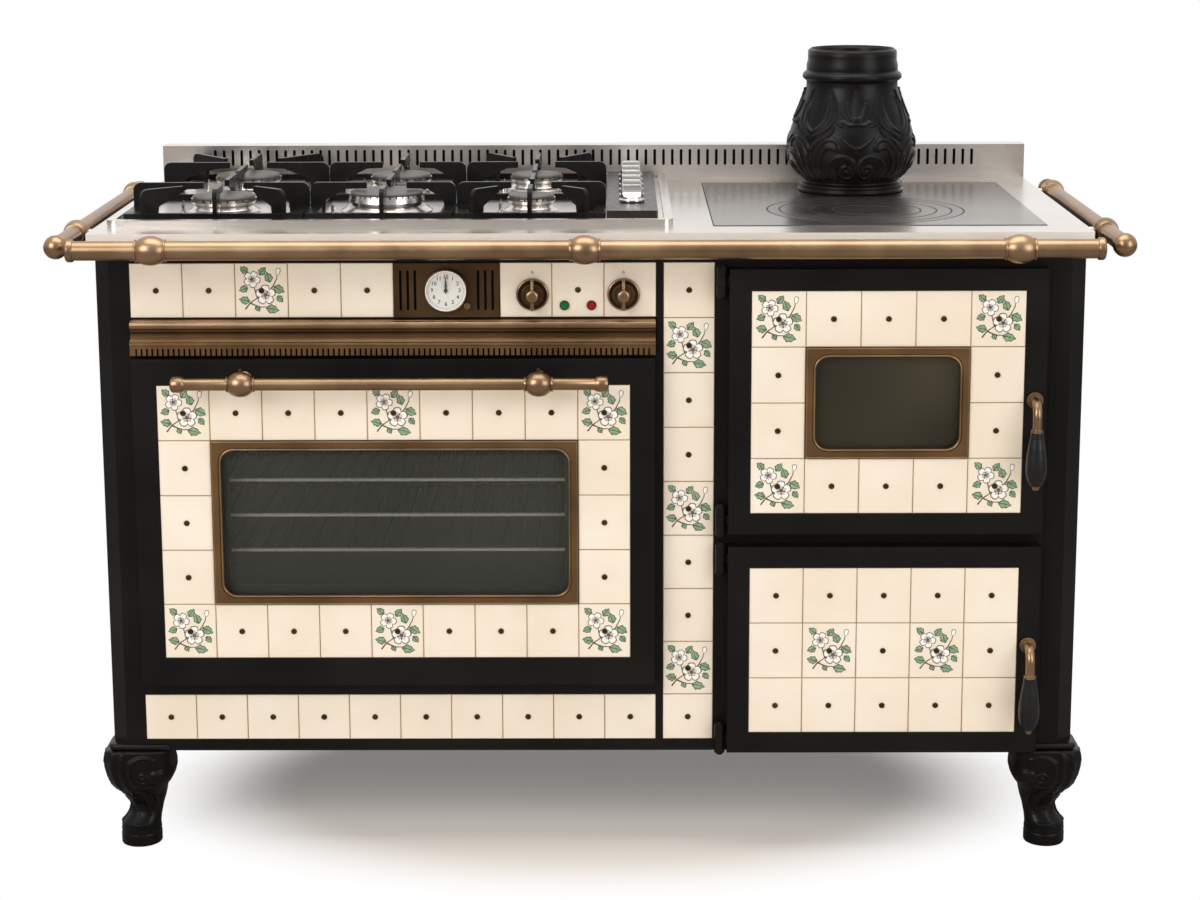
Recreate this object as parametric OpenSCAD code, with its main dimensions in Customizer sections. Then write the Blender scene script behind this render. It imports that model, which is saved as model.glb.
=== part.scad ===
// Range cooker: gas hob and electric oven on the left, wood fire with a cooking plate on the right.
// Millimetres, +Z up, front towards -Y. Origin on the floor, under the middle of the overall box.

/* [Cabinet widths] */
// Width of each front corner post
post_w = 51.5; // [35:0.5:80]
// Width of the bay that holds the oven
oven_bay_w = 740.5; // [600:0.5:900]
// Width of the narrow black bar right of the oven
bar_w = 10; // [6:0.5:20]
// Width of the tall tiled column
column_w = 72.5; // [60:0.5:100]
// Width of the strip that carries the door hinges
hinge_strip_w = 19.5; // [18:0.5:30]
// Width of the fire door and the lower door
side_door_w = 445; // [380:1:560]
// Black reveal between the side doors and the right post
side_reveal = 7.5; // [4:0.5:20]
// Worktop overhang past each side of the cabinet
worktop_side = 1; // [0:0.5:20]

/* [Cabinet heights] */
// Height of the feet, from the floor to the cabinet
foot_h = 151; // [120:1:180]
// Height of the black plinth band
plinth_h = 17; // [10:1:30]
// Height of the kick strip tiles
kick_h = 68; // [50:1:100]
// Black band between the kick strip and the oven door
kick_gap = 22; // [12:1:40]
// Height of the oven door
oven_door_h = 478; // [440:1:520]
// Gap between the oven door and the cornice
cornice_gap = 4.5; // [2:0.5:10]
// Height of the bronze cornice
cornice_h = 48.5; // [40:0.5:60]
// Gap between the cornice and the fascia tiles
fascia_gap = 2; // [1:0.5:6]
// Height of the fascia tiles
fascia_h = 78; // [70:1:100]
// Height of the head rail under the worktop
head_h = 35; // [30:1:60]
// Thickness of the worktop
worktop_t = 11; // [8:0.5:20]
// Height of the lower door
lower_door_h = 306; // [260:1:340]
// Black rail under the lower door
lower_gap = 5; // [3:0.5:12]
// Black rail between the lower door and the fire door
mid_rail_h = 19.5; // [10:0.5:40]
// Black band above the fire door
fire_top_gap = 7; // [3:0.5:12]

/* [Depths] */
// Depth of the worktop, with the upstand
worktop_d = 650; // [600:5:750]
// How far the worktop stands out past the cabinet front
worktop_nose = 32; // [30:1:50]
// Free space behind the cabinet for pipes
rear_gap = 25; // [20:1:60]
// Depth of the corner posts
post_d = 50; // [45:1:80]
// Chamfer of the posts' outer front corner
post_chamfer = 23; // [10:1:30]
// Thickness of the folded sheet panels
sheet_t = 2; // [1.5:0.5:4]
// Thickness of the front frame behind the tiles
plate_t = 3; // [2:0.5:6]

/* [Tiles] */
// Thickness of the wall tiles
tile_t = 6; // [4:0.5:8]
// Joint between tiles
tile_joint = 1.2; // [0.6:0.1:3]
// Number of kick strip tiles
kick_tiles = 10; // [6:1:14]
// Number of tiles in the column above the kick strip line
column_tiles = 8; // [6:1:10]

/* [Doors] */
// Thickness of the doors
door_t = 24; // [20:0.5:32]
// Gap between a closed door and the frame it seals on
door_seal = 1; // [0.5:0.1:1.5]
// Side gap between a door and the frame
door_gap = 2; // [1:0.5:4]
// Wall of the doors' pressed pans
pan_wall = 3; // [2:0.5:5]
// Depth of the recess that holds the door tiles
tile_recess = 7; // [6:0.5:9]
// Black border beside the oven door tiles
oven_border_side = 34.5; // [28:0.5:50]
// Black border above the oven door tiles
oven_border_top = 37; // [30:1:50]
// Black border below the oven door tiles
oven_border_low = 41; // [34:1:55]
// Black border beside the side door tiles
side_border = 30.5; // [28:0.5:45]
// Black border above and below the side door tiles
side_border_end = 30; // [24:1:45]
// Width of the bronze window frames
window_rim = 14; // [10:0.5:18]
// Corner radius of the windows
window_r = 19; // [10:1:24]
// Thickness of the glass panes
glass_t = 4; // [3:0.5:6]
// Radius of the hinge knuckles of the side doors
knuckle_r = 7.5; // [6:0.5:8.5]
// Height of one hinge knuckle
knuckle_h = 14; // [10:1:20]
// Radius of the hinge pins
pin_r = 3; // [2.5:0.25:3.5]
// Running clearance round a pin or a spindle
pin_clearance = 0.05; // [0.02:0.01:0.08]

/* [Oven] */
// Side margin from the oven bay to the oven mouth
oven_mouth_side = 68; // [60:1:100]
// Margin from the oven door's bottom to the oven mouth
oven_mouth_low = 44; // [40:1:60]
// Margin from the oven door's top to the oven mouth
oven_mouth_top = 38; // [34:1:60]
// Depth of the oven cavity
oven_d = 440; // [380:5:500]
// Thickness of the wires of the oven racks
rack_wire = 4; // [3:0.5:6]
// Pitch of the rack wires
rack_pitch = 25; // [18:1:40]
// Height of the racks over the oven floor
rack_low = 140; // [120:1:150]
// Rise from one rack to the next
rack_rise = 52; // [40:1:60]
// Diameter of the oven door handle
handle_d = 18; // [14:0.5:24]
// Reach of the handle's axis in front of the door
handle_reach = 42; // [38:1:55]
// Drop of the handle's axis below the door's top
handle_drop = 27; // [24:1:34]
// Length of the handle
handle_len = 590; // [520:5:640]
// Diameter of the beads on the handle
bead_d = 36; // [30:1:40]

/* [Levers] */
// Distance from the side doors' free edge to the lever spindles
lever_inset = 16; // [14:0.5:20]
// Diameter of the lever rod
lever_d = 13; // [10:0.5:15]
// Reach of the lever in front of the door
lever_reach = 29; // [26:1:36]
// Length of the lever's black grip
grip_len = 77; // [60:1:90]
// Largest diameter of the grip
grip_d = 30; // [24:1:32]
// Drop of the upper lever's spindle below the fire door's top
fire_lever_drop = 186; // [150:1:220]
// Drop of the lower lever's spindle below the lower door's top
low_lever_drop = 144; // [120:1:160]

/* [Towel rails] */
// Diameter of the front rail
rail_d = 28; // [22:1:32]
// Reach of the front rail's axis past the worktop
rail_reach = 45; // [40:1:60]
// Drop of the rails' axis below the worktop's top
rail_drop = 16.5; // [16.2:0.1:18]
// Diameter of the balls on the front rail
rail_ball_d = 41; // [36:1:46]
// Distance from the front rail's ends to its balls
ball_inset = 117.5; // [80:0.5:200]
// How far the front rail runs past the worktop's left edge
rail_left = 19; // [10:1:30]
// How far the front rail runs past the worktop's right edge
rail_right = 7; // [0:1:20]
// Diameter of the side rails
side_rail_d = 26; // [20:1:30]
// Reach of the side rails' axis past the worktop
side_rail_reach = 39; // [34:1:50]
// Diameter of the balls on the side rails
side_ball_d = 38; // [32:1:40]
// Diameter of the ball at the front end of the side rails
end_ball_d = 34; // [30:1:38]
// Place of the side rails' front ball behind the worktop's front edge
side_ball_front = 127; // [110:1:160]
// Place of the side rails' rear ball behind the worktop's front edge
side_ball_rear = 564; // [500:1:580]
// How far the side rails run past their rear ball
side_rail_tail = 50; // [30:1:60]
// Diameter of the stand-offs that carry the rails
standoff_d = 10; // [8:0.5:12]

/* [Upstand] */
// Height of the upstand
upstand_h = 55; // [45:1:80]
// Depth of the upstand
upstand_d = 38; // [30:1:50]
// Number of vent slots
slot_count = 87; // [40:1:90]
// Pitch of the vent slots
slot_pitch = 14.3; // [12:0.1:15]
// Width of a vent slot
slot_w = 4.4; // [3:0.2:6]
// Height of a vent slot
slot_h = 26; // [18:1:30]

/* [Hob] */
// Width of the hob pan
hob_w = 802; // [780:1:812]
// Distance from the worktop's left edge to the hob pan
hob_left = 15; // [10:1:20]
// Distance from the worktop's front edge to the hob pan
hob_front = 64; // [60:1:70]
// Distance from the hob pan to the upstand
hob_back = 14; // [10:1:20]
// Height of the hob pan's rim
hob_h = 10; // [8:0.5:14]
// Width of the rolled rim
hob_rim = 12; // [8:1:16]
// Height of the pan floor over the worktop
hob_floor = 5; // [3:0.5:7]
// Width of the left pan support
grate_left_w = 257; // [250:1:258]
// Width of the middle pan support
grate_mid_w = 212; // [206:1:213]
// Width of the right pan support
grate_right_w = 217; // [210:1:218]
// Distance from the hob pan's front edge to the pan supports
grate_front = 38; // [34:1:42]
// Distance from the pan supports to the hob pan's back edge
grate_back = 26; // [22:1:32]
// Gap between the pan supports
grate_gap = 1.5; // [1:0.5:3]
// Height of the pan supports over the pan floor
grate_h = 43; // [40:1:50]
// Width of the pan supports' bars
grate_bar = 9; // [8:0.5:12]
// Width of the flat sides of the pan supports' frames
grate_side_w = 18; // [14:1:20]
// Thickness of the pan supports' fingers
finger_t = 6.5; // [5:0.5:8]
// Free radius that the fingers leave over a burner
finger_free = 29; // [24:1:34]
// Place of the front burners behind the front bar of the pan supports
burner_inset = 88; // [84:1:100]
// Place of the back burners in front of the back bar of the pan supports
burner_back_inset = 132; // [124:1:136]
// Cap diameter of the two semi-rapid burners
cap_semi_d = 91; // [80:1:96]
// Cap diameter of the rapid burner
cap_rapid_d = 98; // [90:1:102]
// Cap diameter of the triple crown burner
cap_crown_d = 106; // [100:1:110]
// Cap diameter of the auxiliary burner
cap_aux_d = 66; // [60:1:72]
// Cap diameter of the small burner
cap_small_d = 78; // [70:1:84]
// Thickness of the burner caps
cap_t = 5; // [4:0.5:7]
// Height of the control strip
strip_h = 12; // [8:0.5:16]
// Width of the control strip
strip_w = 73; // [66:1:76]
// Free length of the control strip in front of the first gas knob
knob_front = 77; // [70:1:84]
// Free length of the control strip behind the last gas knob
knob_back = 47; // [40:1:54]
// Diameter of the gas knobs at their base
gas_knob_d = 38; // [30:1:42]
// Height of the gas knobs
gas_knob_h = 24; // [20:1:30]

/* [Cooking plate] */
// Width of the cooking plate
plate_w = 470; // [450:1:480]
// Depth of the cooking plate
plate_d = 482; // [476:1:490]
// Distance from the worktop's right edge to the cooking plate
plate_right = 55; // [50:1:60]
// Distance from the worktop's front edge to the cooking plate
plate_front = 67; // [60:1:75]
// Thickness of the cooking plate
plate_h = 12; // [11:0.5:16]
// Diameter of the outermost ring
ring_d = 290; // [280:2:292]
// Width of the outermost ring
ring_1_w = 18; // [16:0.5:24]
// Width of the second ring
ring_2_w = 22; // [16:0.5:26]
// Width of the third ring
ring_3_w = 23; // [16:0.5:26]
// Width of the innermost ring
ring_4_w = 33; // [20:0.5:36]
// Distance from the plate's front edge to the rings' centre
ring_front = 159; // [156:1:162]
// Running clearance round each ring
ring_clearance = 0.5; // [0.3:0.1:1]
// Distance from the plate's left edge to the rings' and the flue's centre
ring_left = 229; // [210:1:250]

/* [Flue urn] */
// Outer diameter of the pipe spigot
spigot_d = 137.5; // [128:0.5:140]
// Length of the pipe spigot
spigot_len = 23; // [20:1:40]
// Largest diameter of the urn's belly
urn_belly_d = 200; // [190:1:202]
// Diameter of the urn's foot flange
urn_foot_d = 166; // [160:1:172]
// Diameter of the urn's waist
urn_waist_d = 154; // [146:1:160]
// Diameter of the urn's bead
urn_bead_d = 154; // [148:1:160]
// Height of the urn up to the spigot
urn_h = 198; // [190:1:220]
// Wall of the urn casting
urn_wall = 6; // [5:0.5:8]

/* [Clock and knobs] */
// Width of the bronze clock panel
clock_panel_w = 149; // [130:1:160]
// Width of the three tiles right of the clock panel
knob_tile_w = 73.3; // [68:0.1:78]
// Diameter of the clock bezel
bezel_d = 62; // [56:1:66]
// Diameter of the oven knobs
oven_knob_d = 46; // [40:1:50]
// Distance from the middle of the knob tiles to each oven knob
oven_knob_offset = 64; // [58:1:70]
// Diameter of the pilot lamps
lamp_d = 13; // [8:0.5:15]
// Diameter of the control spindles
spindle_d = 8; // [6:0.5:9]

/* [Firebox] */
// Wall of the firebrick lining
brick_t = 25; // [20:1:30]
// Depth of the firebox inside
firebox_d = 480; // [440:5:520]
// Thickness of the fire grate
fire_grate_t = 12; // [10:1:16]
// Width of the fire grate
fire_grate_w = 220; // [180:5:260]
// Depth of the fire grate
fire_grate_d = 240; // [200:5:280]
// Height of the ash pan
ash_pan_h = 46; // [36:1:56]

/* [Hidden] */
$fn = 64;
eps = 0.5;

// Colours of the finishes
black = "#1f1d19";
iron = "#23211f";
bronze = "#84674a";
steel = "#cec5bf";
chrome = "#d8d6d2";
cream = "#f1e1c9";
dark_glass = "#42403c";

// Widths, from left to right
cabinet_w = 2*post_w + oven_bay_w + bar_w + column_w + hinge_strip_w + side_door_w + side_reveal;
worktop_w = cabinet_w + 2*worktop_side;
x_left = -cabinet_w/2;
x_bay = x_left + post_w;
x_bar = x_bay + oven_bay_w;
x_column = x_bar + bar_w;
x_strip = x_column + column_w;
x_door = x_strip + hinge_strip_w;
x_door_end = x_door + side_door_w;
x_post = x_door_end + side_reveal;
x_right = cabinet_w/2;

// Heights, from the floor up
z_kick = foot_h + plinth_h;
z_kick_top = z_kick + kick_h;
z_oven = z_kick_top + kick_gap;
z_oven_top = z_oven + oven_door_h;
z_cornice = z_oven_top + cornice_gap;
z_cornice_top = z_cornice + cornice_h;
z_fascia = z_cornice_top + fascia_gap;
z_fascia_top = z_fascia + fascia_h;
z_head_top = z_fascia_top + head_h;
z_top = z_head_top + worktop_t;
z_lower = foot_h + lower_gap;
z_lower_top = z_lower + lower_door_h;
z_fire = z_lower_top + mid_rail_h;
z_fire_top = z_fascia_top - fire_top_gap;

// Depths, from the worktop's front edge back
y_face = worktop_nose;
y_plate = y_face + tile_t;
y_plate_back = y_plate + plate_t;
y_door_back = y_face - door_seal;
y_door = y_door_back - door_t;
y_back = worktop_d - rear_gap;
y_upstand = worktop_d - upstand_d;
rail_front = rail_reach + rail_ball_d/2;
centre_y = (worktop_d - rail_front)/2;

// Doors as [left, right, bottom, top], and their tiled fields
oven_door = [x_bay + door_gap, x_bar - door_gap, z_oven, z_oven_top];
oven_field = [oven_door[0] + oven_border_side, oven_door[1] - oven_border_side,
              z_oven + oven_border_low, z_oven_top - oven_border_top];
fire_door = [x_door, x_door_end, z_fire, z_fire_top];
fire_field = [x_door + side_border, x_door_end - side_border,
              z_fire + side_border_end, z_fire_top - side_border_end];
lower_door = [x_door, x_door_end, z_lower, z_lower_top];
lower_field = [x_door + side_border, x_door_end - side_border,
               z_lower + side_border_end, z_lower_top - side_border_end];
// Tile grids as [columns, rows, first and last column and row that the window takes]
oven_grid = [9, 5, 1, 7, 1, 3];
fire_grid = [5, 4, 1, 3, 1, 2];
lower_grid = [5, 3, 9, 9, 9, 9];
oven_window = window_of(oven_field, oven_grid);
fire_window = window_of(fire_field, fire_grid);
glass_lap = 10;
tile_back_y = y_door + tile_recess;

// Mouths behind the doors as [left, right, bottom, top]
oven_mouth = [x_bay + oven_mouth_side, x_bar - oven_mouth_side,
              z_oven + oven_mouth_low, z_oven_top - oven_mouth_top];
fire_mouth = [fire_field[0], fire_field[1], fire_field[2], fire_field[3]];
lower_mouth = [lower_field[0], lower_field[1], lower_field[2], lower_field[3]];

// Hinges
oven_axis_y = y_face - 8;
oven_axis_z = z_oven + 3;
oven_lug_r = 6.5;
oven_lug_w = 14;
oven_lug_inset = 85;
oven_pin_len = 42;
side_axis_x = x_strip + hinge_strip_w/2 - 0.5;
side_axis_y = y_face - 13;
leaf_t = 4;
hinge_h = 3*knuckle_h + 0.6;
fire_hinges = [z_fire_top - hinge_h/2 + 3, z_fire + hinge_h/2 - 4];
lower_hinges = [z_lower_top - hinge_h/2 + 2, z_lower + hinge_h/2 - 3];

// Levers
lever_x = x_door_end - lever_inset;
fire_lever_z = z_fire_top - fire_lever_drop;
low_lever_z = z_lower_top - low_lever_drop;
lever_spindle_r = 5;
tongue_len = 13;
keeper_w = 31;
keeper_h = 34;
elbow_r = 20;

// Hob
x_hob = -worktop_w/2 + hob_left;
z_pan = z_top + hob_floor;
hob_box_in = max(hob_rim + 6, y_face + post_d + 2 - hob_front);
grate_side = 18;
hob_d = y_upstand - hob_back - hob_front;
grate_d = hob_d - grate_front - grate_back;
y_grate = hob_front + grate_front;
x_grate_mid = x_hob + grate_side + grate_left_w + grate_gap;
x_grate_right = x_grate_mid + grate_mid_w + grate_gap;
x_strip_left = x_grate_right + grate_right_w + grate_gap;
burner_rows = [y_grate + burner_inset, y_grate + grate_d - burner_back_inset];
burner_columns = [x_hob + grate_side + grate_left_w/2 + 3, x_grate_mid + grate_mid_w/2 + 5,
                  x_grate_right + grate_right_w/2];
burner_caps_d = [[cap_semi_d, cap_rapid_d], [cap_crown_d, cap_semi_d], [cap_aux_d, cap_small_d]];
crown_flare = 27;
crown_lift = 6;
head_rise = 21;
cap_clear = head_rise + crown_lift + cap_t + 1;
knob_x = x_strip_left + strip_w/2;
knob_first_y = y_grate + 2 + knob_front + gas_knob_d/2;
knob_pitch = (y_grate + grate_d - 6 - knob_back - gas_knob_d/2 - knob_first_y)/5;
z_strip = z_pan + strip_h;
z_knob = z_strip + 1;

// Cooking plate, rings from the outside in
x_plate = worktop_w/2 - plate_right - plate_w;
ring_x = x_plate + ring_left;
ring_y = plate_front + ring_front;
ring_radii = [ring_d/2, ring_d/2 - ring_1_w, ring_d/2 - ring_1_w - ring_2_w,
              ring_d/2 - ring_1_w - ring_2_w - ring_3_w,
              ring_d/2 - ring_1_w - ring_2_w - ring_3_w - ring_4_w];
ring_step = 5;
plate_rise = 1;
z_plate = z_head_top;
plate_gap = 1.2;

// Flue urn, seated on the plate behind the rings
urn_x = ring_x;
urn_y = ring_y + ring_d/2 + urn_foot_d/2 + 4;
z_urn = z_plate + plate_h;
urn_foot_h = 14;
urn_steps = 14;
belly_z = 73;
shoulder_z = urn_h - 30;
shoulder_r = spigot_d/2 + 1.5;

// Fascia
x_fascia_end = x_bar;
x_clock = x_fascia_end - 3*knob_tile_w - clock_panel_w;
clock_x = x_clock + clock_panel_w/2 - 1;
fascia_mid = z_fascia + fascia_h/2;
knob_mid = x_fascia_end - 1.5*knob_tile_w;
oven_knob_x = [knob_mid - oven_knob_offset, knob_mid + oven_knob_offset];
oven_knob_z = fascia_mid - 6;
lamp_z = fascia_mid - 22;
lamp_offset = 19;
clock_knob_x = clock_x + 30;
clock_knob_z = fascia_mid - 21.5;
fascia_tiles = 5;
arbor_r = 1;
pipe_r = 1.9;

// Fire side
firebox_x = [fire_mouth[0] - brick_t, fire_mouth[1] + brick_t];
firebox_z = fire_mouth[2] - brick_t;
fire_grate_x = (fire_mouth[0] + fire_mouth[1] - fire_grate_w)/2;
fire_grate_y = y_plate_back + 110;
ash_w = fire_grate_w + 30;
ash_x = (fire_mouth[0] + fire_mouth[1] - ash_w)/2;
ash_z = lower_mouth[3] - ash_pan_h - 12;
ash_d = firebox_d - 60;

function window_of(f, g) = [
    f[0] + (f[1] - f[0])/g[0]*g[2], f[0] + (f[1] - f[0])/g[0]*(g[3] + 1),
    f[2] + (f[3] - f[2])/g[1]*g[4], f[2] + (f[3] - f[2])/g[1]*(g[5] + 1)
];
function grown(b, m) = [b[0] - m, b[1] + m, b[2] - m, b[3] + m];
function ease(a, b, t) = a + (b - a)*(1 - cos(180*t))/2;

// ---------- helpers ----------

// Everything is drawn from the worktop's front edge and then set over the origin
module set_down() {
    translate([0, -centre_y, 0]) children();
}

module box(x0, x1, y0, y1, z0, z1) {
    translate([x0, y0, z0]) cube([x1 - x0, y1 - y0, z1 - z0]);
}

// A box through the depth whose front view is r = [left, right, bottom, top]
module slab(r, y0, y1) {
    box(r[0], r[1], y0, y1, r[2], r[3]);
}

module along_x(x0, x1) {
    translate([x0, 0, 0]) rotate([90, 0, 90]) linear_extrude(x1 - x0) children();
}

module along_y(y0, y1) {
    translate([0, y1, 0]) rotate([90, 0, 0]) linear_extrude(y1 - y0) children();
}

module rod_x(x, y, z, r, len) {
    translate([x, y, z]) rotate([0, 90, 0]) cylinder(r = r, h = len);
}

module rod_y(x, y0, y1, z, r) {
    translate([x, y1, z]) rotate([90, 0, 0]) cylinder(r = r, h = y1 - y0);
}

// A rectangle [left, right, bottom, top] with round corners
module rounded(b, r) {
    translate([b[0] + r, b[2]]) square([b[1] - b[0] - 2*r, b[3] - b[2]]);
    translate([b[0], b[2] + r]) square([b[1] - b[0], b[3] - b[2] - 2*r]);
    for (x = [b[0] + r, b[1] - r], z = [b[2] + r, b[3] - r]) translate([x, z]) circle(r);
}

// A grid of tiles over the field f, g as in oven_grid
module tile_grid(f, g, y0) {
    w = (f[1] - f[0])/g[0];
    h = (f[3] - f[2])/g[1];
    for (i = [0:g[0] - 1], j = [0:g[1] - 1])
        if (i < g[2] || i > g[3] || j < g[4] || j > g[5])
            box(f[0] + i*w + tile_joint/2, f[0] + (i + 1)*w - tile_joint/2, y0, y0 + tile_t,
                f[2] + j*h + tile_joint/2, f[2] + (j + 1)*h - tile_joint/2);
}

// ---------- cabinet ----------

module base_frame() {
    color(black) set_down() {
        box(x_left + sheet_t, x_right - sheet_t, y_face + post_d, y_back - sheet_t,
            foot_h, foot_h + sheet_t);
        box(x_bay, x_post, y_plate_back, y_face + post_d, foot_h, foot_h + sheet_t);
        box(x_bay, x_post, y_face, y_plate_back, foot_h, foot_h + lower_gap - 1);
        for (y = [y_back - sheet_t - 30])
            box(x_left + sheet_t, x_right - sheet_t, y, y + sheet_t, foot_h, z_kick);
    }
}

// Cross-sections of a foot: [height as a share of the foot, lean inwards, half width]
foot_sections = [
    [0.17, 0, 27], [0.28, 4.8, 23], [0.36, 7.9, 22.5], [0.43, 7, 26], [0.53, 2.5, 33],
    [0.65, 1.8, 43], [0.75, 4, 49], [0.82, 3, 46], [0.91, 4.7, 49.5]
];
foot_inset = 33;
foot_corner = 1.2;

function curve(a, b, c, d, t) =
    b + 0.5*t*(c - a + t*(2*a - 5*b + 4*c - d + t*(3*(b - c) + d - a)));
foot_last = len(foot_sections) - 1;
foot_path = concat([for (i = [0:foot_last - 1], t = [0, 1/3, 2/3])
    curve(foot_sections[max(i - 1, 0)], foot_sections[i], foot_sections[i + 1],
          foot_sections[min(i + 2, foot_last)], t)], [foot_sections[foot_last]]);

// Side view of a foot as a prism; lean and grow set the view's direction
module foot_view(lean, grow) {
    rotate([90, 0, 0]) linear_extrude(200, center = true) polygon(concat(
        [for (s = foot_path) [lean*s[1] - grow*s[2], s[0]*foot_h]],
        [for (i = [len(foot_path) - 1:-1:0])
            [lean*foot_path[i][1] + grow*foot_path[i][2], foot_path[i][0]*foot_h]]
    ));
}

module foot() {
    base_r = 29;
    intersection() {
        foot_view(1, 1);
        rotate(90) foot_view(1, 1);
        rotate(45) foot_view(sqrt(2), foot_corner);
        rotate(-45) foot_view(0, foot_corner);
    }
    cylinder(r = base_r, h = 20);
    translate([0, 0, 19]) cylinder(r = base_r - 3, h = 6);
    translate([0, 0, 24]) cylinder(r = base_r, h = 5);
    translate([3, 3, 0.91*foot_h - 1]) linear_extrude(foot_h*0.09 + 1) rounded([-47, 46, -47, 46], 6);
    // scrolls on the two outer faces
    for (turn = [0, 1]) mirror([turn, -turn, 0]) {
        translate([9, -30, 108]) rotate([90, 0, 0]) cylinder(r = 19, h = 17);
        translate([9, -30, 108]) rotate([90, 0, 0]) cylinder(r = 7, h = 20);
        translate([36, -30, 106]) rotate([90, 0, 0]) cylinder(r = 12, h = 16);
    }
}

module feet() {
    color(iron) set_down()
        for (sx = [0, 1], sy = [0, 1])
            translate([sx == 0 ? x_left + foot_inset : x_right - foot_inset,
                       sy == 0 ? y_face + foot_inset : y_back - foot_inset, 0])
                mirror([sx, 0, 0]) mirror([0, sy, 0]) foot();
}

module cabinet_panels() {
    color(black) set_down() {
        for (x = [x_left, x_right - sheet_t])
            box(x, x + sheet_t, y_face + post_d, y_back, foot_h, z_head_top);
        difference() {
            box(x_left + sheet_t, x_right - sheet_t, y_back - sheet_t, y_back, foot_h, z_head_top);
            for (i = [0:11], x = [x_bay + 200, x_door + 60])
                box(x + i*20, x + i*20 + 8, y_back - 2*sheet_t, y_back + eps, z_lower_top, z_lower_top + 70);
            rod_y(inlet_x, y_back - 2*sheet_t, y_back + eps, inlet_z, inlet_r + 1);
            rod_y(inlet_x + 120, y_back - 2*sheet_t, y_back + eps, inlet_z, 9);
        }
        for (x = [x_bar + bar_w/2, x_strip + 4])
            box(x - sheet_t/2, x + sheet_t/2, y_plate_back, y_back - sheet_t - 32, foot_h + sheet_t,
                z_fascia_top);
    }
}

inlet_x = x_left + 110;
inlet_z = z_fascia_top;
inlet_r = 10.48;

module post_profile() {
    polygon([[x_post, y_face], [x_right - post_chamfer, y_face], [x_right, y_face + post_chamfer],
             [x_right, y_face + post_d], [x_post, y_face + post_d]]);
}

module corner_posts() {
    wall = 3;
    color(black) set_down()
        for (side = [0, 1]) mirror([side, 0, 0]) translate([0, 0, foot_h])
            linear_extrude(z_head_top - foot_h) difference() {
                post_profile();
                translate([x_post + wall, y_face + wall])
                    square([post_w - post_chamfer - wall, post_d - 2*wall]);
            }
}

module front_frame() {
    color(black) set_down() difference() {
        slab([x_bay, x_post, foot_h + lower_gap - 1, z_head_top], y_face, y_plate_back);
        // pockets for the tiles
        slab([x_bay - eps, x_bar, z_kick, z_kick_top], y_face - eps, y_plate);
        slab([x_bay - eps, x_bar, z_cornice, z_fascia_top], y_face - eps, y_plate);
        slab([x_column, x_strip, z_kick, z_fascia_top], y_face - eps, y_plate);
        // mouths
        slab(oven_mouth, y_face - eps, y_plate_back + eps);
        slab(fire_mouth, y_face - eps, y_plate_back + eps);
        slab(lower_mouth, y_face - eps, y_plate_back + eps);
        // keeper slots behind the latch tongues
        for (z = [fire_lever_z, low_lever_z])
            slab([lever_x - keeper_w/2, lever_x + tongue_len + 1.5, z - keeper_h/2, z + keeper_h/2],
                 y_face - eps, y_plate_back + eps);
        // clock, its setting knob, control spindles, lamps
        rod_y(clock_x, y_face, y_plate_back + eps, fascia_mid, bezel_d/2 - 3);
        rod_y(clock_knob_x, y_face, y_plate_back + eps, clock_knob_z, 1.5 + pin_clearance);
        for (x = oven_knob_x)
            rod_y(x, y_face, y_plate_back + eps, oven_knob_z, spindle_d/2 + pin_clearance);
        for (x = [-lamp_offset, lamp_offset])
            rod_y(knob_mid + x, y_face, y_plate_back + eps, lamp_z, lamp_d/2 - 1.5);
        // vents behind the cornice
        for (i = [0:19])
            slab([x_bay + 30 + i*34, x_bay + 44 + i*34, z_cornice + 8, z_cornice + 26],
                 y_face, y_plate_back + eps);
    }
}

module fascia_holes() {
    for (x = oven_knob_x) rod_y(x, y_face - eps, y_plate + eps, oven_knob_z, spindle_d/2 + 1);
    for (x = [-lamp_offset, lamp_offset])
        rod_y(knob_mid + x, y_face - eps, y_plate + eps, lamp_z, lamp_d/2 - 1);
}

module cabinet_tiles() {
    color(cream) set_down() {
        tile_grid([x_bay, x_clock, z_fascia, z_fascia_top], [fascia_tiles, 1, 99, 99, 9, 9], y_face);
        difference() {
            tile_grid([x_clock + clock_panel_w, x_bar, z_fascia, z_fascia_top],
                      [3, 1, 9, 9, 9, 9], y_face);
            fascia_holes();
        }
        tile_grid([x_column, x_strip, z_kick_top, z_fascia_top],
                  [1, column_tiles, 9, 9, 99, 99], y_face);
        tile_grid([x_column, x_strip, z_kick, z_kick_top], [1, 1, 9, 9, 9, 9], y_face);
        tile_grid([x_bay, x_bar, z_kick, z_kick_top], [kick_tiles, 1, 99, 99, 9, 9], y_face);
    }
}

module worktop() {
    edge_r = 3;
    color(steel) set_down() difference() {
        translate([0, 0, z_head_top]) linear_extrude(worktop_t)
            rounded([-worktop_w/2, worktop_w/2, 0, worktop_d], edge_r);
        box(x_hob + hob_box_in - 3, x_hob + hob_w - hob_box_in + 3, hob_front + hob_box_in - 3,
            hob_front + hob_d - hob_box_in + 3, z_head_top - eps, z_top + eps);
        box(x_plate - plate_gap, x_plate + plate_w + plate_gap, plate_front - plate_gap,
            plate_front + plate_d + plate_gap, z_head_top - eps, z_top + eps);
    }
}

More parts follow.
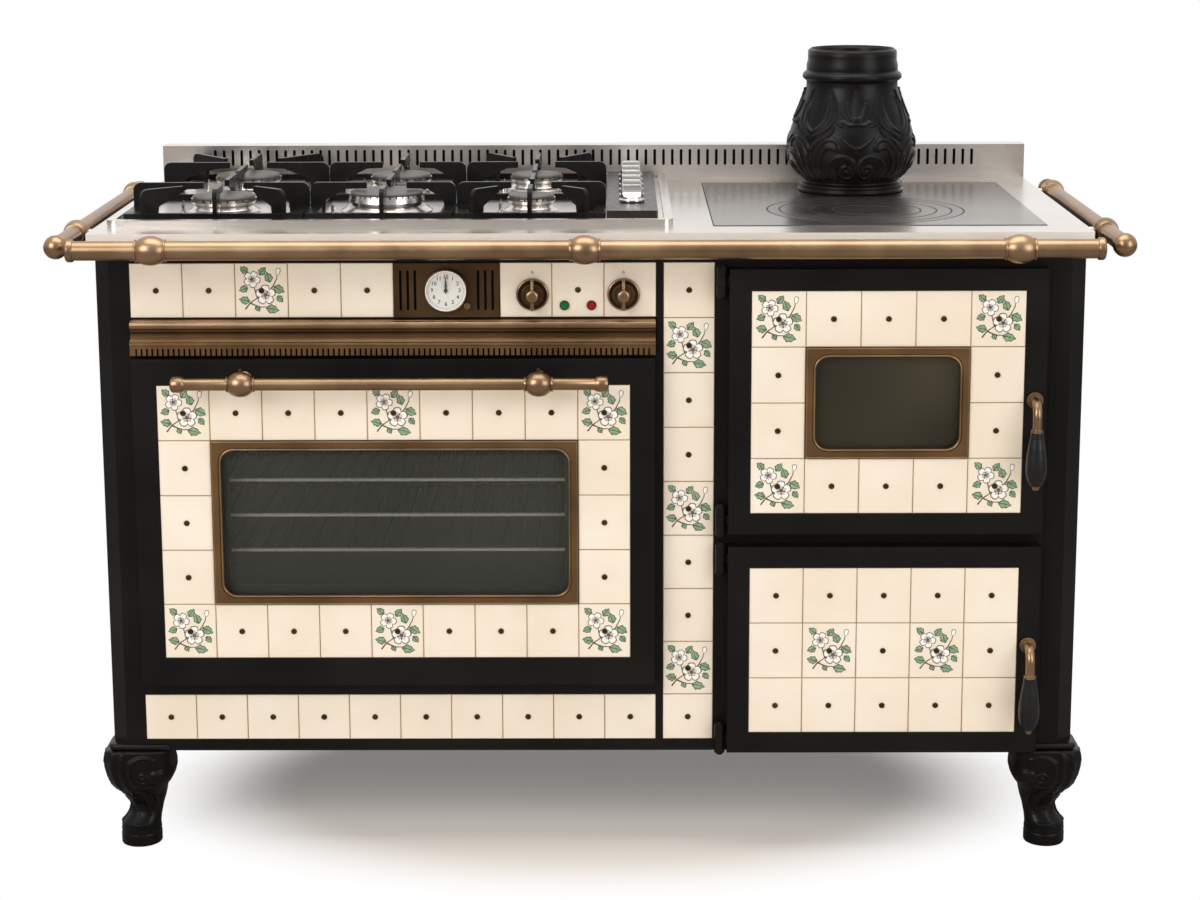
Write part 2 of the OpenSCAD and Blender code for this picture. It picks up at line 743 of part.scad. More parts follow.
module upstand() {
    top = z_top + upstand_h;
    slot_top = top - 7;
    color(steel) set_down() difference() {
        box(-worktop_w/2, worktop_w/2, y_upstand, worktop_d, z_top, top);
        box(-worktop_w/2 + sheet_t, worktop_w/2 - sheet_t, y_upstand + sheet_t, worktop_d - sheet_t,
            z_top - eps, top - sheet_t);
        along_y(y_upstand - eps, y_upstand + 2*sheet_t)
            for (i = [0:slot_count - 1])
                translate([(i - (slot_count - 1)/2)*slot_pitch - slot_w/2, slot_top - slot_h]) {
                    translate([0, slot_w/2]) square([slot_w, slot_h - slot_w]);
                    for (v = [slot_w/2, slot_h - slot_w/2])
                        translate([slot_w/2, v]) circle(slot_w/2, $fn = 16);
                }
    }
}

// ---------- rails ----------

z_rail = z_top - rail_drop;
rail_x0 = -worktop_w/2 - rail_left;
rail_x1 = worktop_w/2 + rail_right;
rail_wall = 2;
x_side_rail = worktop_w/2 + side_rail_reach;

module rail_cap(r) {
    rotate([0, -90, 0]) {
        cylinder(r = r + 2, h = 5);
        intersection() {
            translate([0, 0, -r*0.5]) sphere(r = r*1.5);
            translate([0, 0, 5]) cylinder(r = r + 1.5, h = r*0.6);
        }
    }
}

module front_rail() {
    balls = [rail_x0 + ball_inset, (rail_x0 + rail_x1)/2, rail_x1 - ball_inset];
    cap = 13;
    difference() {
        union() {
            rod_x(rail_x0 + cap, -rail_reach, z_rail, rail_d/2, rail_x1 - rail_x0 - 2*cap);
            for (x = balls) {
                translate([x, -rail_reach, z_rail]) sphere(d = rail_ball_d);
                rod_x(x - rail_ball_d/2 + 1, -rail_reach, z_rail, rail_d/2 + 1.6, rail_ball_d - 2);
            }
        }
        rod_x(rail_x0 + cap - eps, -rail_reach, z_rail, rail_d/2 - rail_wall,
              rail_x1 - rail_x0 - 2*cap + 2*eps);
    }
    translate([rail_x0 + cap, -rail_reach, z_rail]) rail_cap(rail_d/2);
    translate([rail_x1 - cap, -rail_reach, z_rail]) mirror([1, 0, 0]) rail_cap(rail_d/2);
    for (x = balls) rod_y(x, -rail_reach + rail_ball_d/2 - 1.5, y_face, z_rail, standoff_d/2);
}

module side_rail() {
    front_end = 0;
    difference() {
        union() {
            rod_y(x_side_rail, front_end, side_ball_rear + side_rail_tail, z_rail, side_rail_d/2);
            for (y = [side_ball_front, side_ball_rear]) {
                translate([x_side_rail, y, z_rail]) sphere(d = side_ball_d);
                rod_y(x_side_rail, y - side_ball_d/2 + 1, y + side_ball_d/2 - 1, z_rail,
                      side_rail_d/2 + 1.6);
            }
            translate([x_side_rail, front_end - end_ball_d/2 + 6, z_rail]) sphere(d = end_ball_d);
        }
        rod_y(x_side_rail, front_end + 12, side_ball_rear + side_rail_tail - 4, z_rail,
              side_rail_d/2 - rail_wall);
    }
    for (y = [side_ball_front, side_ball_rear])
        rod_x(x_right, y, z_rail, standoff_d/2, side_rail_reach + worktop_side - side_ball_d/2 + 1.5);
}

module towel_rails() {
    color(bronze) set_down() {
        front_rail();
        for (side = [0, 1]) mirror([side, 0, 0]) side_rail();
    }
}

// Gas pipe stub with its hexagon, and the gland for the supply cable
module rear_inlets() {
    stub_y = worktop_d - 4;
    color(chrome) set_down() {
        difference() {
            union() {
                rod_y(inlet_x, y_back - 30, stub_y, inlet_z, inlet_r);
                translate([inlet_x, y_back + 6, inlet_z]) rotate([90, 0, 0])
                    cylinder(r = inlet_r + 4, h = 6, $fn = 6);
                translate([inlet_x, y_back - sheet_t, inlet_z]) rotate([90, 0, 0])
                    cylinder(r = inlet_r + 4, h = 6, $fn = 6);
            }
            rod_y(inlet_x, y_back - 30 - eps, stub_y + eps, inlet_z, inlet_r - 3);
        }
        difference() {
            union() {
                rod_y(inlet_x + 120, y_back - 12, y_back + 16, inlet_z, 8.8);
                translate([inlet_x + 120, y_back + 8, inlet_z]) rotate([90, 0, 0])
                    cylinder(r = 13, h = 8, $fn = 6);
            }
            rod_y(inlet_x + 120, y_back - 12 - eps, y_back + 16 + eps, inlet_z, 5.5);
        }
    }
}

// ---------- hob ----------

module hob_pan() {
    corner_r = 14;
    box_drop = 34;
    outer = [x_hob, x_hob + hob_w, hob_front, hob_front + hob_d];
    color(steel) set_down() difference() {
        union() {
            translate([0, 0, z_top]) linear_extrude(hob_h) rounded(outer, corner_r);
            // burner box that hangs in the worktop's opening
            translate([0, 0, z_top - box_drop]) linear_extrude(box_drop + eps)
                rounded(grown(outer, -hob_box_in), 6);
        }
        translate([0, 0, z_pan]) linear_extrude(hob_h)
            rounded(grown(outer, -hob_rim), corner_r - 4);
        translate([0, 0, z_top - box_drop - eps]) linear_extrude(box_drop + hob_floor - 2 + eps)
            rounded(grown(outer, -hob_box_in - sheet_t), 5);
        for (i = [0:2], j = [0, 1])
            translate([burner_columns[i], burner_rows[j], z_top - eps])
                cylinder(r = burner_caps_d[i][j]/2 - 12, h = hob_h + 2*eps);
        for (k = [0:5])
            translate([knob_x, knob_first_y + k*knob_pitch, z_top - eps])
                cylinder(r = 6, h = hob_h + 2*eps);
    }
}

// Flared head with a crown of gas ports under its rim
module burner_head(d, lift) {
    ports = 24;
    port_w = 2.2;
    throat = d/2 - 13;
    difference() {
        rotate_extrude() polygon([
            [throat - 4, -26], [throat, -26], [throat, 0], [d/2 + 5, 0], [d/2 + 7, 3],
            [d/2 + 1, 6 + lift], [d/2 - 3, 10 + lift], [d/2 + 2, head_rise - 4 + lift],
            [d/2 + 2, head_rise + lift], [d/2 - 8, head_rise + lift], [throat - 4, 8]
        ]);
        for (i = [0:ports - 1]) rotate(i*360/ports)
            translate([d/2 - 15, -port_w/2, head_rise - 3 + lift]) cube([20, port_w, 4]);
    }
}

module triple_crown(d) {
    throat = d/2 - 13;
    ports = 36;
    port_w = 2.2;
    rotate_extrude() polygon([
        [throat - 4, -26], [throat, -26], [throat, 0], [d/2 + crown_flare/2, 0],
        [d/2 + crown_flare/2, 3], [d/2 + 4, 9], [throat - 4, 9]
    ]);
    difference() {
        translate([0, 0, 9]) rotate_extrude() polygon([
            [12, 0], [d/2 - 2, 0], [d/2 - 2, 7], [d/2 + 3, 8], [d/2 + 1, head_rise + crown_lift - 9],
            [d/2 - 8, head_rise + crown_lift - 9], [d/2 - 12, 5], [24, 5],
            [24, head_rise + crown_lift - 9], [12, head_rise + crown_lift - 9]
        ]);
        for (i = [0:ports - 1]) rotate(i*360/ports)
            translate([d/2 - 15, -port_w/2, head_rise + crown_lift - 3]) cube([20, port_w, 4]);
    }
}

module igniter(d) {
    rotate(200) translate([d/2 + 14, 0, 0]) {
        cylinder(r = 3, h = 14);
        translate([0, 0, 14]) cylinder(r = 1, h = 5);
        cylinder(r = 5, h = 3);
    }
}

module burner_heads() {
    color(chrome) set_down()
        for (i = [0:2], j = [0, 1]) translate([burner_columns[i], burner_rows[j], z_pan]) {
            d = burner_caps_d[i][j];
            if (i == 1 && j == 0) triple_crown(d);
            else burner_head(d, 0);
            igniter(i == 1 && j == 0 ? d + crown_flare : d);
        }
}

module burner_caps() {
    color(iron) set_down()
        for (i = [0:2], j = [0, 1]) translate([burner_columns[i], burner_rows[j], z_pan]) {
            d = burner_caps_d[i][j];
            lift = i == 1 && j == 0 ? crown_lift : 0;
            translate([0, 0, head_rise + lift]) rotate_extrude() polygon([
                [0, 0], [d/2 - 1, 0], [d/2, 1], [d/2, cap_t - 2], [d/2 - 2, cap_t - 0.6],
                [d/2 - 14, cap_t], [0, cap_t]
            ]);
        }
}

module control_strip() {
    color("#3a3632") set_down() difference() {
        translate([0, 0, z_pan]) linear_extrude(strip_h)
            rounded([x_strip_left, x_strip_left + strip_w, y_grate + 2, y_grate + grate_d - 6], 3);
        for (k = [0:5])
            translate([knob_x, knob_first_y + k*knob_pitch, z_pan - eps])
                cylinder(r = 4 + pin_clearance, h = strip_h + 2*eps);
    }
}

// Skirt, tapered body with two hollowed flanks that leave a grip bar, and the tap spindle
module gas_knob(k) {
    skirt_h = 4;
    bar = 9;
    color(chrome) set_down() translate([knob_x, knob_first_y + (k - 1)*knob_pitch, z_knob]) {
        difference() {
            union() {
                cylinder(r = gas_knob_d/2, h = skirt_h);
                translate([0, 0, skirt_h])
                    cylinder(r1 = gas_knob_d/2 - 3, r2 = gas_knob_d/2 - 5, h = gas_knob_h - skirt_h);
            }
            for (side = [-1, 1])
                translate([side*(gas_knob_d/2 + bar/2), gas_knob_d, skirt_h + 14]) rotate([90, 0, 0])
                    cylinder(r = gas_knob_d/2 - 2, h = 2*gas_knob_d);
        }
        translate([0, 0, -strip_h - 21]) cylinder(r = 4, h = strip_h + 21 + eps);
    }
}

// Finger of a pan support: it stands on the frame, rounds over and reaches in along +x.
// Its last stretch, flat, stays high enough to pass over a burner cap
module finger(len, flat) {
    leg = max(grate_bar, (len - flat)*0.4);
    deep = grate_h - cap_clear;
    round_r = 11;
    translate([0, finger_t/2, 0]) rotate([90, 0, 0]) linear_extrude(finger_t) {
        polygon([[0, 0], [leg, 0], [leg + 2, grate_h*0.4], [len - flat, cap_clear],
                 [len, grate_h - deep*0.9], [len, grate_h], [round_r, grate_h],
                 [round_r, grate_h/2], [0, grate_h - round_r]]);
        translate([round_r, grate_h - round_r]) circle(round_r);
    }
}

// Pan support over two burners: frame, cross bar and fingers that point at each burner
module grate(x0, w, col, corners) {
    bar_h = 9;
    cx = burner_columns[col];
    mid = (burner_rows[0] + burner_rows[1])/2;
    translate([0, 0, z_pan + 0.3]) {
        linear_extrude(bar_h) difference() {
            rounded([x0, x0 + w, y_grate, y_grate + grate_d], 5);
            for (v = [[y_grate + grate_bar, mid - grate_bar/2],
                      [mid + grate_bar/2, y_grate + grate_d - grate_bar]])
                translate([x0, v[0]]) rounded([grate_side_w, w - grate_side_w, 0, v[1] - v[0]], 8);
        }
        for (j = [0, 1]) {
            y = burner_rows[j];
            edge_y = j == 0 ? y_grate : y_grate + grate_d;
            flat = burner_caps_d[col][j]/2 + 7 - finger_free;
            translate([x0, y, 0]) finger(cx - x0 - finger_free, flat);
            translate([x0 + w, y, 0]) rotate(180) finger(x0 + w - cx - finger_free, flat);
            translate([cx, edge_y, 0]) rotate(j == 0 ? 90 : -90)
                finger(abs(y - edge_y) - finger_free, flat);
            translate([cx, mid - sign(mid - y)*(grate_bar/2 - 1), 0]) rotate(j == 0 ? -90 : 90)
                finger(abs(mid - y) - grate_bar/2 + 1 - finger_free, flat);
            if (corners) for (s = [-1, 1]) {
                dx = cx - x0 - w/2 - s*(w/2 - 26);
                dy = y - edge_y;
                translate([cx - dx, edge_y + sign(dy)*2, 0]) rotate(atan2(dy, dx))
                    finger(norm([dx, dy]) - finger_free - 40, 4);
            }
        }
    }
}

module grate_left() {
    color(iron) set_down() grate(x_hob + grate_side, grate_left_w, 0, true);
}

module grate_middle() {
    color(iron) set_down() grate(x_grate_mid, grate_mid_w, 1, false);
}

module grate_right() {
    color(iron) set_down() grate(x_grate_right, grate_right_w, 2, true);
}

// ---------- cooking plate ----------

// A stepped opening in the plate or in a ring, which carries the next piece in
module stepped_hole(r) {
    translate([ring_x, ring_y, z_plate - eps]) cylinder(r = r - ring_step + ring_clearance, h = plate_h);
    translate([ring_x, ring_y, z_plate + plate_h/2]) cylinder(r = r + ring_clearance, h = plate_h);
}

// A stepped disc that hangs by its upper half in the hole of the same radius
module stepped_disc(r) {
    translate([ring_x, ring_y, z_plate]) cylinder(r = r - ring_step, h = plate_h/2 + 0.3);
    translate([ring_x, ring_y, z_plate + plate_h/2 + 0.3]) cylinder(r = r, h = plate_h/2 - 0.3);
}

module cooking_plate() {
    color("#b3aca6") set_down() difference() {
        box(x_plate, x_plate + plate_w, plate_front, plate_front + plate_d, z_plate, z_plate + plate_h);
        stepped_hole(ring_radii[0]);
        translate([urn_x, urn_y, z_plate - eps]) cylinder(r = spigot_d/2 - 8, h = plate_h + 2*eps);
    }
}

module plate_ring(i) {
    color("#a8a19b") set_down() difference() {
        stepped_disc(ring_radii[i - 1]);
        stepped_hole(ring_radii[i]);
    }
}

module plate_lid() {
    color("#a8a19b") set_down() difference() {
        stepped_disc(ring_radii[4]);
        translate([ring_x - 4, ring_y - ring_radii[4] + 12, z_plate + plate_h/2 + 1])
            cube([8, 16, plate_h]);
    }
}

// Ogee from the waist over the belly to the shoulder
urn_waist_z = urn_foot_h + 5;
urn_curve = concat(
    [for (i = [0:urn_steps]) [ease(urn_waist_d/2, urn_belly_d/2, i/urn_steps),
                              urn_waist_z + (belly_z - urn_waist_z)*i/urn_steps]],
    [for (i = [1:urn_steps]) [ease(urn_belly_d/2, shoulder_r, i/urn_steps),
                              belly_z + (shoulder_z - belly_z)*i/urn_steps]]
);

module flue_urn() {
    bead_z = shoulder_z + 10;
    inner = [for (i = [len(urn_curve) - 1:-1:0]) [urn_curve[i][0] - urn_wall, urn_curve[i][1]]];
    color(iron) set_down() translate([urn_x, urn_y, z_urn]) {
        rotate_extrude($fn = 96) polygon(concat(
            [[urn_foot_d/2 - 2, 0], [urn_foot_d/2, 3], [urn_foot_d/2, urn_foot_h - 3],
             [urn_foot_d/2 - 3, urn_foot_h], [urn_waist_d/2, urn_foot_h + 2]],
            urn_curve,
            [[shoulder_r, urn_h], [spigot_d/2, urn_h + 1], [spigot_d/2, urn_h + spigot_len - 1],
             [spigot_d/2 - 1, urn_h + spigot_len], [spigot_d/2 - 5, urn_h + spigot_len],
             [spigot_d/2 - 5, shoulder_z]],
            inner,
            [[urn_waist_d/2 - urn_wall, 6], [spigot_d/2 - 6, 0]]
        ));
        translate([0, 0, bead_z]) rotate_extrude($fn = 96)
            translate([urn_bead_d/2 - 6, 0]) circle(6, $fn = 24);
    }
}

// ---------- fascia ----------

module vent_cornice() {
    comb_pitch = 7.5;
    slot = 2.6;
    comb_h = 10.5;
    h = cornice_h;
    count = floor((oven_bay_w - 12)/comb_pitch);
    color(bronze) set_down() difference() {
        along_x(x_bay + 1, x_bar - 1) translate([y_face, z_cornice]) {
            difference() {
                polygon([[5.5, 0], [-20, 0], [-20, 14], [-22, 15], [-22, 18], [-19, 19],
                         [-13, 24], [-11, 27], [-11, 30], [-13, 33], [-13, h - 4], [-11, h], [5.5, h]]);
                translate([-18, -eps]) square([23.5 - sheet_t, 13]);
            }
            translate([-12, h - 6.5]) circle(6, $fn = 32);
        }
        along_y(y_face - 25, y_face - 15)
            for (i = [0:count - 1])
                translate([x_bay + 6 + (oven_bay_w - 12 - (count - 1)*comb_pitch - slot)/2
                           + i*comb_pitch, z_cornice - eps])
                    square([slot, comb_h]);
    }
}

module clock_panel() {
    proud = 2;
    slot_w2 = 3.6;
    slot_h2 = 57;
    color(bronze) set_down() difference() {
        slab([x_clock + 0.5, x_clock + clock_panel_w - 0.5, z_fascia + 0.5, z_fascia_top - 0.5],
             y_face - proud, y_plate);
        for (i = [0:2], side = [0, 1]) {
            x = side == 0 ? x_clock + 8 + i*10.2 : x_clock + clock_panel_w - 8 - slot_w2 - i*10.2;
            along_y(y_face - proud - eps, y_plate + eps)
                rounded([x, x + slot_w2, fascia_mid - slot_h2/2, fascia_mid + slot_h2/2], slot_w2/2 - 0.1);
        }
        rod_y(clock_x, y_face - proud - eps, y_plate + eps, fascia_mid, bezel_d/2 - 3);
        rod_y(clock_knob_x, y_face - proud - eps, y_plate + eps, clock_knob_z, 1.5 + pin_clearance);
    }
}

// Case cup with its bezel; the dial closes it in front of the movement
module clock_dial() {
    color("#f3efe6") set_down() difference() {
        union() {
            rod_y(clock_x, y_face - 4, y_plate_back + 24, fascia_mid, bezel_d/2 - 3.3);
            rod_y(clock_x, y_face - 9, y_face - 2, fascia_mid, bezel_d/2);
        }
        rod_y(clock_x, y_face - 9 - eps, y_face - 3, fascia_mid, bezel_d/2 - 3.5);
        rod_y(clock_x, y_face + 2, y_plate_back + 22, fascia_mid, bezel_d/2 - 6);
        rod_y(clock_x, y_face - 5, y_face + 3, fascia_mid, pipe_r + pin_clearance);
        rod_y(clock_x, y_plate_back + 20, y_plate_back + 24 + eps, fascia_mid, arbor_r + pin_clearance);
    }
}

module clock_glass_and_lamps() {
    color("#e8eeee") set_down() {
        rod_y(clock_x, y_face - 8.8, y_face - 7.6, fascia_mid, bezel_d/2 - 3.6);
        for (x = [-lamp_offset, lamp_offset]) {
            rod_y(knob_mid + x, y_face - 3, y_plate_back, lamp_z, lamp_d/2 - 1.6);
            rod_y(knob_mid + x, y_face - 3, y_face - 0.2, lamp_z, lamp_d/2);
        }
    }
}

module hand_blade(len, w, y0, y1) {
    along_y(y0, y1) polygon([[-w/2, -len*0.18], [w/2, -len*0.18], [w*0.7, len*0.5], [0, len],
                             [-w*0.7, len*0.5]]);
}

module minute_hand() {
    color(black) set_down() {
        translate([clock_x, 0, fascia_mid]) hand_blade(22, 1.8, y_face - 6.9, y_face - 6.3);
        rod_y(clock_x, y_face - 6.9, y_plate_back + 24, fascia_mid, arbor_r);
        rod_y(clock_x, y_face - 7.2, y_face - 6.3, fascia_mid, 2);
    }
}

module hour_hand() {
    color(black) set_down() difference() {
        union() {
            translate([clock_x, 0, fascia_mid]) hand_blade(15, 2.4, y_face - 5.6, y_face - 4.9);
            rod_y(clock_x, y_face - 5.6, y_face + 6, fascia_mid, pipe_r);
            rod_y(clock_x, y_face - 5.6, y_face - 4.9, fascia_mid, 2.8);
        }
        rod_y(clock_x, y_face - 6, y_face + 6 + eps, fascia_mid, arbor_r + pin_clearance);
    }
}

module clock_knob() {
    color(bronze) set_down() {
        rod_y(clock_knob_x, y_face - 10, y_face - 2.5, clock_knob_z, 4.5);
        rod_y(clock_knob_x, y_face - 3, y_plate_back + 6, clock_knob_z, 1.5);
    }
}

// Skirt, step, cross bar, round boss and the spindle to the switch
module oven_knob(x) {
    skirt_back = y_face - 1;
    color(bronze) set_down() {
        rod_y(x, skirt_back - 4, skirt_back, oven_knob_z, oven_knob_d/2);
        rod_y(x, skirt_back - 8, skirt_back - 3, oven_knob_z, oven_knob_d/2 - 6);
        box(x - 3.5, x + 3.5, skirt_back - 20, skirt_back - 7, oven_knob_z - oven_knob_d/2 + 1,
            oven_knob_z + oven_knob_d/2 - 1);
        rod_y(x, skirt_back - 25, skirt_back - 7, oven_knob_z, 9);
        rod_y(x, skirt_back - 1, y_plate_back + 30, oven_knob_z, spindle_d/2);
    }
}

// ---------- oven ----------

oven_back = y_plate_back + oven_d;

module oven_liner() {
    color("#34322f") set_down() {
        difference() {
            slab(grown(oven_mouth, sheet_t), y_plate_back, oven_back);
            slab(oven_mouth, y_plate_back - eps, oven_back - sheet_t);
        }
        // rack ladders on both side walls
        for (side = [0, 1], i = [0:2]) {
            x = side == 0 ? oven_mouth[0] : oven_mouth[1] - 8;
            z = oven_mouth[2] + rack_low + i*rack_rise - 4.3;
            box(x, x + 8, y_plate_back + 12, oven_back - 20, z, z + 4);
        }
    }
}

module oven_racks() {
    w = oven_mouth[1] - oven_mouth[0] - 4;
    d = oven_d - 60;
    wires = floor((w - 2*rack_pitch)/rack_pitch);
    color(chrome) set_down() for (i = [0:2])
        translate([oven_mouth[0] + 2, y_plate_back + 22, oven_mouth[2] + rack_low + i*rack_rise])
            linear_extrude(rack_wire) {
                difference() {
                    square([w, d]);
                    translate([rack_wire*1.4, rack_wire*1.4])
                        square([w - 2.8*rack_wire, d - 2.8*rack_wire]);
                }
                for (k = [0:wires])
                    translate([w/2 + (k - wires/2)*rack_pitch - rack_wire/2, 0]) square([rack_wire, d]);
                translate([0, d*0.5]) square([w, rack_wire]);
            }
}

// Looped grill element under the roof and the cover of the rear fan
module oven_elements() {
    r = 3.5;
    z = oven_mouth[3] - 18;
    x0 = oven_mouth[0] + 60;
    x1 = oven_mouth[1] - 60;
    y0 = y_plate_back + 80;
    bend = 30;
    rows = 4;
    color("#6b6762") set_down() {
        for (i = [0:rows - 1]) {
            x = i == 0 ? x0 - 45 : x0;
            rod_x(x, y0 + i*2*bend, z, r, x1 - x);
        }
        for (i = [0:rows - 2])
            translate([i % 2 == 0 ? x1 : x0, y0 + (2*i + 1)*bend, z])
                rotate([0, 0, i % 2 == 0 ? -90 : 90]) rotate_extrude(angle = 180)
                    translate([bend, 0]) circle(r, $fn = 24);
        for (i = [0, rows - 1]) translate([i == 0 ? x0 - 45 : x0, 0, 0]) {
            rod_y(0, y0 + i*2*bend, oven_back - sheet_t, z, r);
            translate([0, y0 + i*2*bend, z]) sphere(r);
        }
        difference() {
            rod_y((x0 + x1)/2, oven_back - sheet_t - 22, oven_back - sheet_t,
                  (oven_mouth[2] + oven_mouth[3])/2, 105);
            rod_y((x0 + x1)/2, oven_back - sheet_t - 20, oven_back - sheet_t + eps,
                  (oven_mouth[2] + oven_mouth[3])/2, 102);
            for (ring = [30, 60], i = [0:ring/5 - 1]) rotate_about((x0 + x1)/2,
                (oven_mouth[2] + oven_mouth[3])/2, i*1800/ring)
                rod_y(ring, oven_back - sheet_t - 23, oven_back - sheet_t - 18, 0, 5);
        }
    }
}

// Turns the children about an axis along y through (x, z)
module rotate_about(x, z, angle) {
    translate([x, 0, z]) rotate([0, angle, 0]) children();
}

// ---------- doors ----------

// Pressed pan of a door: recess for the tiles in front, hollow behind between rim and window wall
module door_pan(d, f, w) {
    hollow_y = tile_back_y + pan_wall;
    difference() {
        slab(d, y_door, y_door_back);
        slab(f, y_door - eps, tile_back_y);
        difference() {
            slab(grown(d, -pan_wall), hollow_y, y_door_back + eps);
            if (len(w) > 0) slab(grown(w, 4 + pan_wall - window_rim + glass_lap), hollow_y - eps, y_door_back);
            children();
        }
        if (len(w) > 0) {
            along_y(y_door - eps, hollow_y + eps) rounded(grown(w, 3 - window_rim), window_r - 3);
            along_y(hollow_y, y_door_back + eps)
                rounded(grown(w, 3.3 - window_rim + glass_lap), 6);
        }
    }
}

module window_frame(w) {
    difference() {
        slab(grown(w, -tile_joint/2), y_door - 2, tile_back_y);
        along_y(y_door - 2 - eps, tile_back_y + eps) rounded(grown(w, -window_rim), window_r);
        // step round the glass
        along_y(y_door - 2 - eps, y_door) rounded(grown(w, 4 - window_rim), window_r + 3);
    }
}

module glass_pane(w, y) {
    along_y(y, y + glass_t) rounded(grown(w, 3 - window_rim + glass_lap), 6);
}

// The cylinder round which an oven hinge lug turns, with or without clearance
module oven_hinge_sites() {
    for (x = [oven_door[0] + oven_lug_inset, oven_door[1] - oven_lug_inset])
        translate([x, oven_axis_y, oven_axis_z]) children();
}

module oven_door_frame() {
    notch_w = oven_lug_w + 1;
    block_w = oven_pin_len + 12;
    color(black) set_down() difference() {
        door_pan(oven_door, oven_field, oven_window)
            oven_hinge_sites() translate([-block_w/2, -12, -10]) cube([block_w, 30, 30]);
        oven_hinge_sites() {
            translate([-notch_w/2, -oven_lug_r - 1, -10])
                cube([notch_w, 30, 10 + oven_lug_r + 1.5]);
            rotate([0, 90, 0]) translate([0, 0, -oven_pin_len/2 - 0.5])
                cylinder(r = pin_r + pin_clearance, h = oven_pin_len + 1);
        }
    }
}

module oven_door_tiles() {
    color(cream) set_down() tile_grid(oven_field, oven_grid, tile_back_y - tile_t);
}

module oven_window_frame() {
    color(bronze) set_down() window_frame(oven_window);
}

plug_gap = 8;
plug_d = 12;

module oven_door_glass() {
    color(dark_glass) set_down() {
        glass_pane(oven_window, tile_back_y + pan_wall + 0.3);
        glass_pane(oven_window, y_door_back + plug_d - glass_t - 2.3);
    }
}

// Inner skin: closes the pan, and its pressed plug stands in the oven mouth round the inner pane
module oven_door_liner() {
    plug = grown(oven_mouth, -plug_gap);
    t = 2;
    color("#2b2927") set_down() difference() {
        union() {
            slab(grown(oven_door, -pan_wall - 0.3), y_door_back - t, y_door_back);
            slab(plug, y_door_back - t, y_door_back + plug_d);
        }
        slab(grown(plug, -t), y_door_back - t - eps, y_door_back + plug_d - t);
        along_y(y_door_back - t - eps, y_door_back + plug_d + eps)
            rounded(grown(oven_window, -window_rim - 6), window_r);
        oven_hinge_sites() translate([-oven_pin_len/2 - 8, -20, -10])
            cube([oven_pin_len + 16, 60, 32]);
    }
}

module oven_handle() {
    x_mid = (oven_door[0] + oven_door[1])/2 - 1;
    y = y_door - handle_reach;
    z = z_oven_top - handle_drop;
    bead_off = handle_len/2 - 88;
    color(bronze) set_down() {
        rod_x(x_mid - handle_len/2, y, z, handle_d/2, handle_len);
        for (s = [-1, 1]) {
            translate([x_mid + s*handle_len/2, y, z]) sphere(d = handle_d + 3);
            translate([x_mid + s*bead_off, y, z]) sphere(d = bead_d);
            rod_x(x_mid + s*bead_off - bead_d/2 - 1.5, y, z, handle_d/2 + 2.5, bead_d + 3);
            rod_y(x_mid + s*bead_off, y, y_door, z, 6);
            rod_y(x_mid + s*bead_off, y_door - 5, y_door, z, 11);
            translate([x_mid + s*bead_off, y, z + bead_d/2 - 2]) cylinder(r = 2.5, h = 6);
        }
    }
}

// ---------- hinges ----------

module side_hinge_fixed(z) {
    for (s = [-1, 1]) translate([0, 0, z + s*(knuckle_h + 0.3) - knuckle_h/2]) {
        translate([side_axis_x, side_axis_y, 0]) cylinder(r = knuckle_r, h = knuckle_h);
        translate([side_axis_x - leaf_t/2, side_axis_y, 0])
            cube([leaf_t, y_face - side_axis_y, knuckle_h]);
    }
    translate([side_axis_x, side_axis_y, z - hinge_h/2 - 3]) cylinder(r = pin_r, h = hinge_h + 6);
    for (s = [-1, 1])
        translate([side_axis_x, side_axis_y, z + s*(hinge_h/2 + 1.5) - 1.5])
            cylinder(r = pin_r + 1.5, h = 3);
}

module door_hinges() {
    color(black) set_down() {
        for (z = concat(fire_hinges, lower_hinges)) side_hinge_fixed(z);
        oven_hinge_sites() {
            rotate([0, 90, 0]) translate([0, 0, -oven_lug_w/2]) cylinder(r = oven_lug_r, h = oven_lug_w);
            rotate([0, 90, 0]) translate([0, 0, -oven_pin_len/2]) cylinder(r = pin_r, h = oven_pin_len);
            translate([-oven_lug_w/2, 0, -3]) cube([oven_lug_w, y_face - oven_axis_y, 6]);
        }
    }
}

// Moving knuckle and its leaf on the door's edge
module side_hinge_moving(z, d) {
    leaf_in = 3;
    difference() {
        union() {
            translate([side_axis_x, side_axis_y, z - knuckle_h/2]) cylinder(r = knuckle_r, h = knuckle_h);
            translate([side_axis_x, side_axis_y - leaf_t/2, z - knuckle_h/2])
                cube([d[0] + leaf_in - side_axis_x, leaf_t, knuckle_h]);
        }
        translate([side_axis_x, side_axis_y, z - knuckle_h])
            cylinder(r = pin_r + pin_clearance, h = 2*knuckle_h);
    }
}

module side_door_frame(d, f, w, hinges, lever_z) {
    difference() {
        union() {
            door_pan(d, f, w) rod_y(lever_x, y_door, y_door_back, lever_z, lever_spindle_r + 5);
            for (z = hinges) side_hinge_moving(z, d);
        }
        rod_y(lever_x, y_door - eps, y_door_back + eps, lever_z, lever_spindle_r + pin_clearance);
    }
}

module fire_door_frame() {
    color(black) set_down() side_door_frame(fire_door, fire_field, fire_window, fire_hinges, fire_lever_z);
}

module fire_door_tiles() {
    color(cream) set_down() tile_grid(fire_field, fire_grid, tile_back_y - tile_t);
}

module fire_window_frame() {
    color(bronze) set_down() window_frame(fire_window);
}

module fire_door_glass() {
    color(dark_glass) set_down() glass_pane(fire_window, tile_back_y + pan_wall + 0.3);
}

module lower_door_frame() {
    color(black) set_down() side_door_frame(lower_door, lower_field, [], lower_hinges, low_lever_z);
}

module lower_door_tiles() {
    color(cream) set_down() tile_grid(lower_field, lower_grid, tile_back_y - tile_t);
}

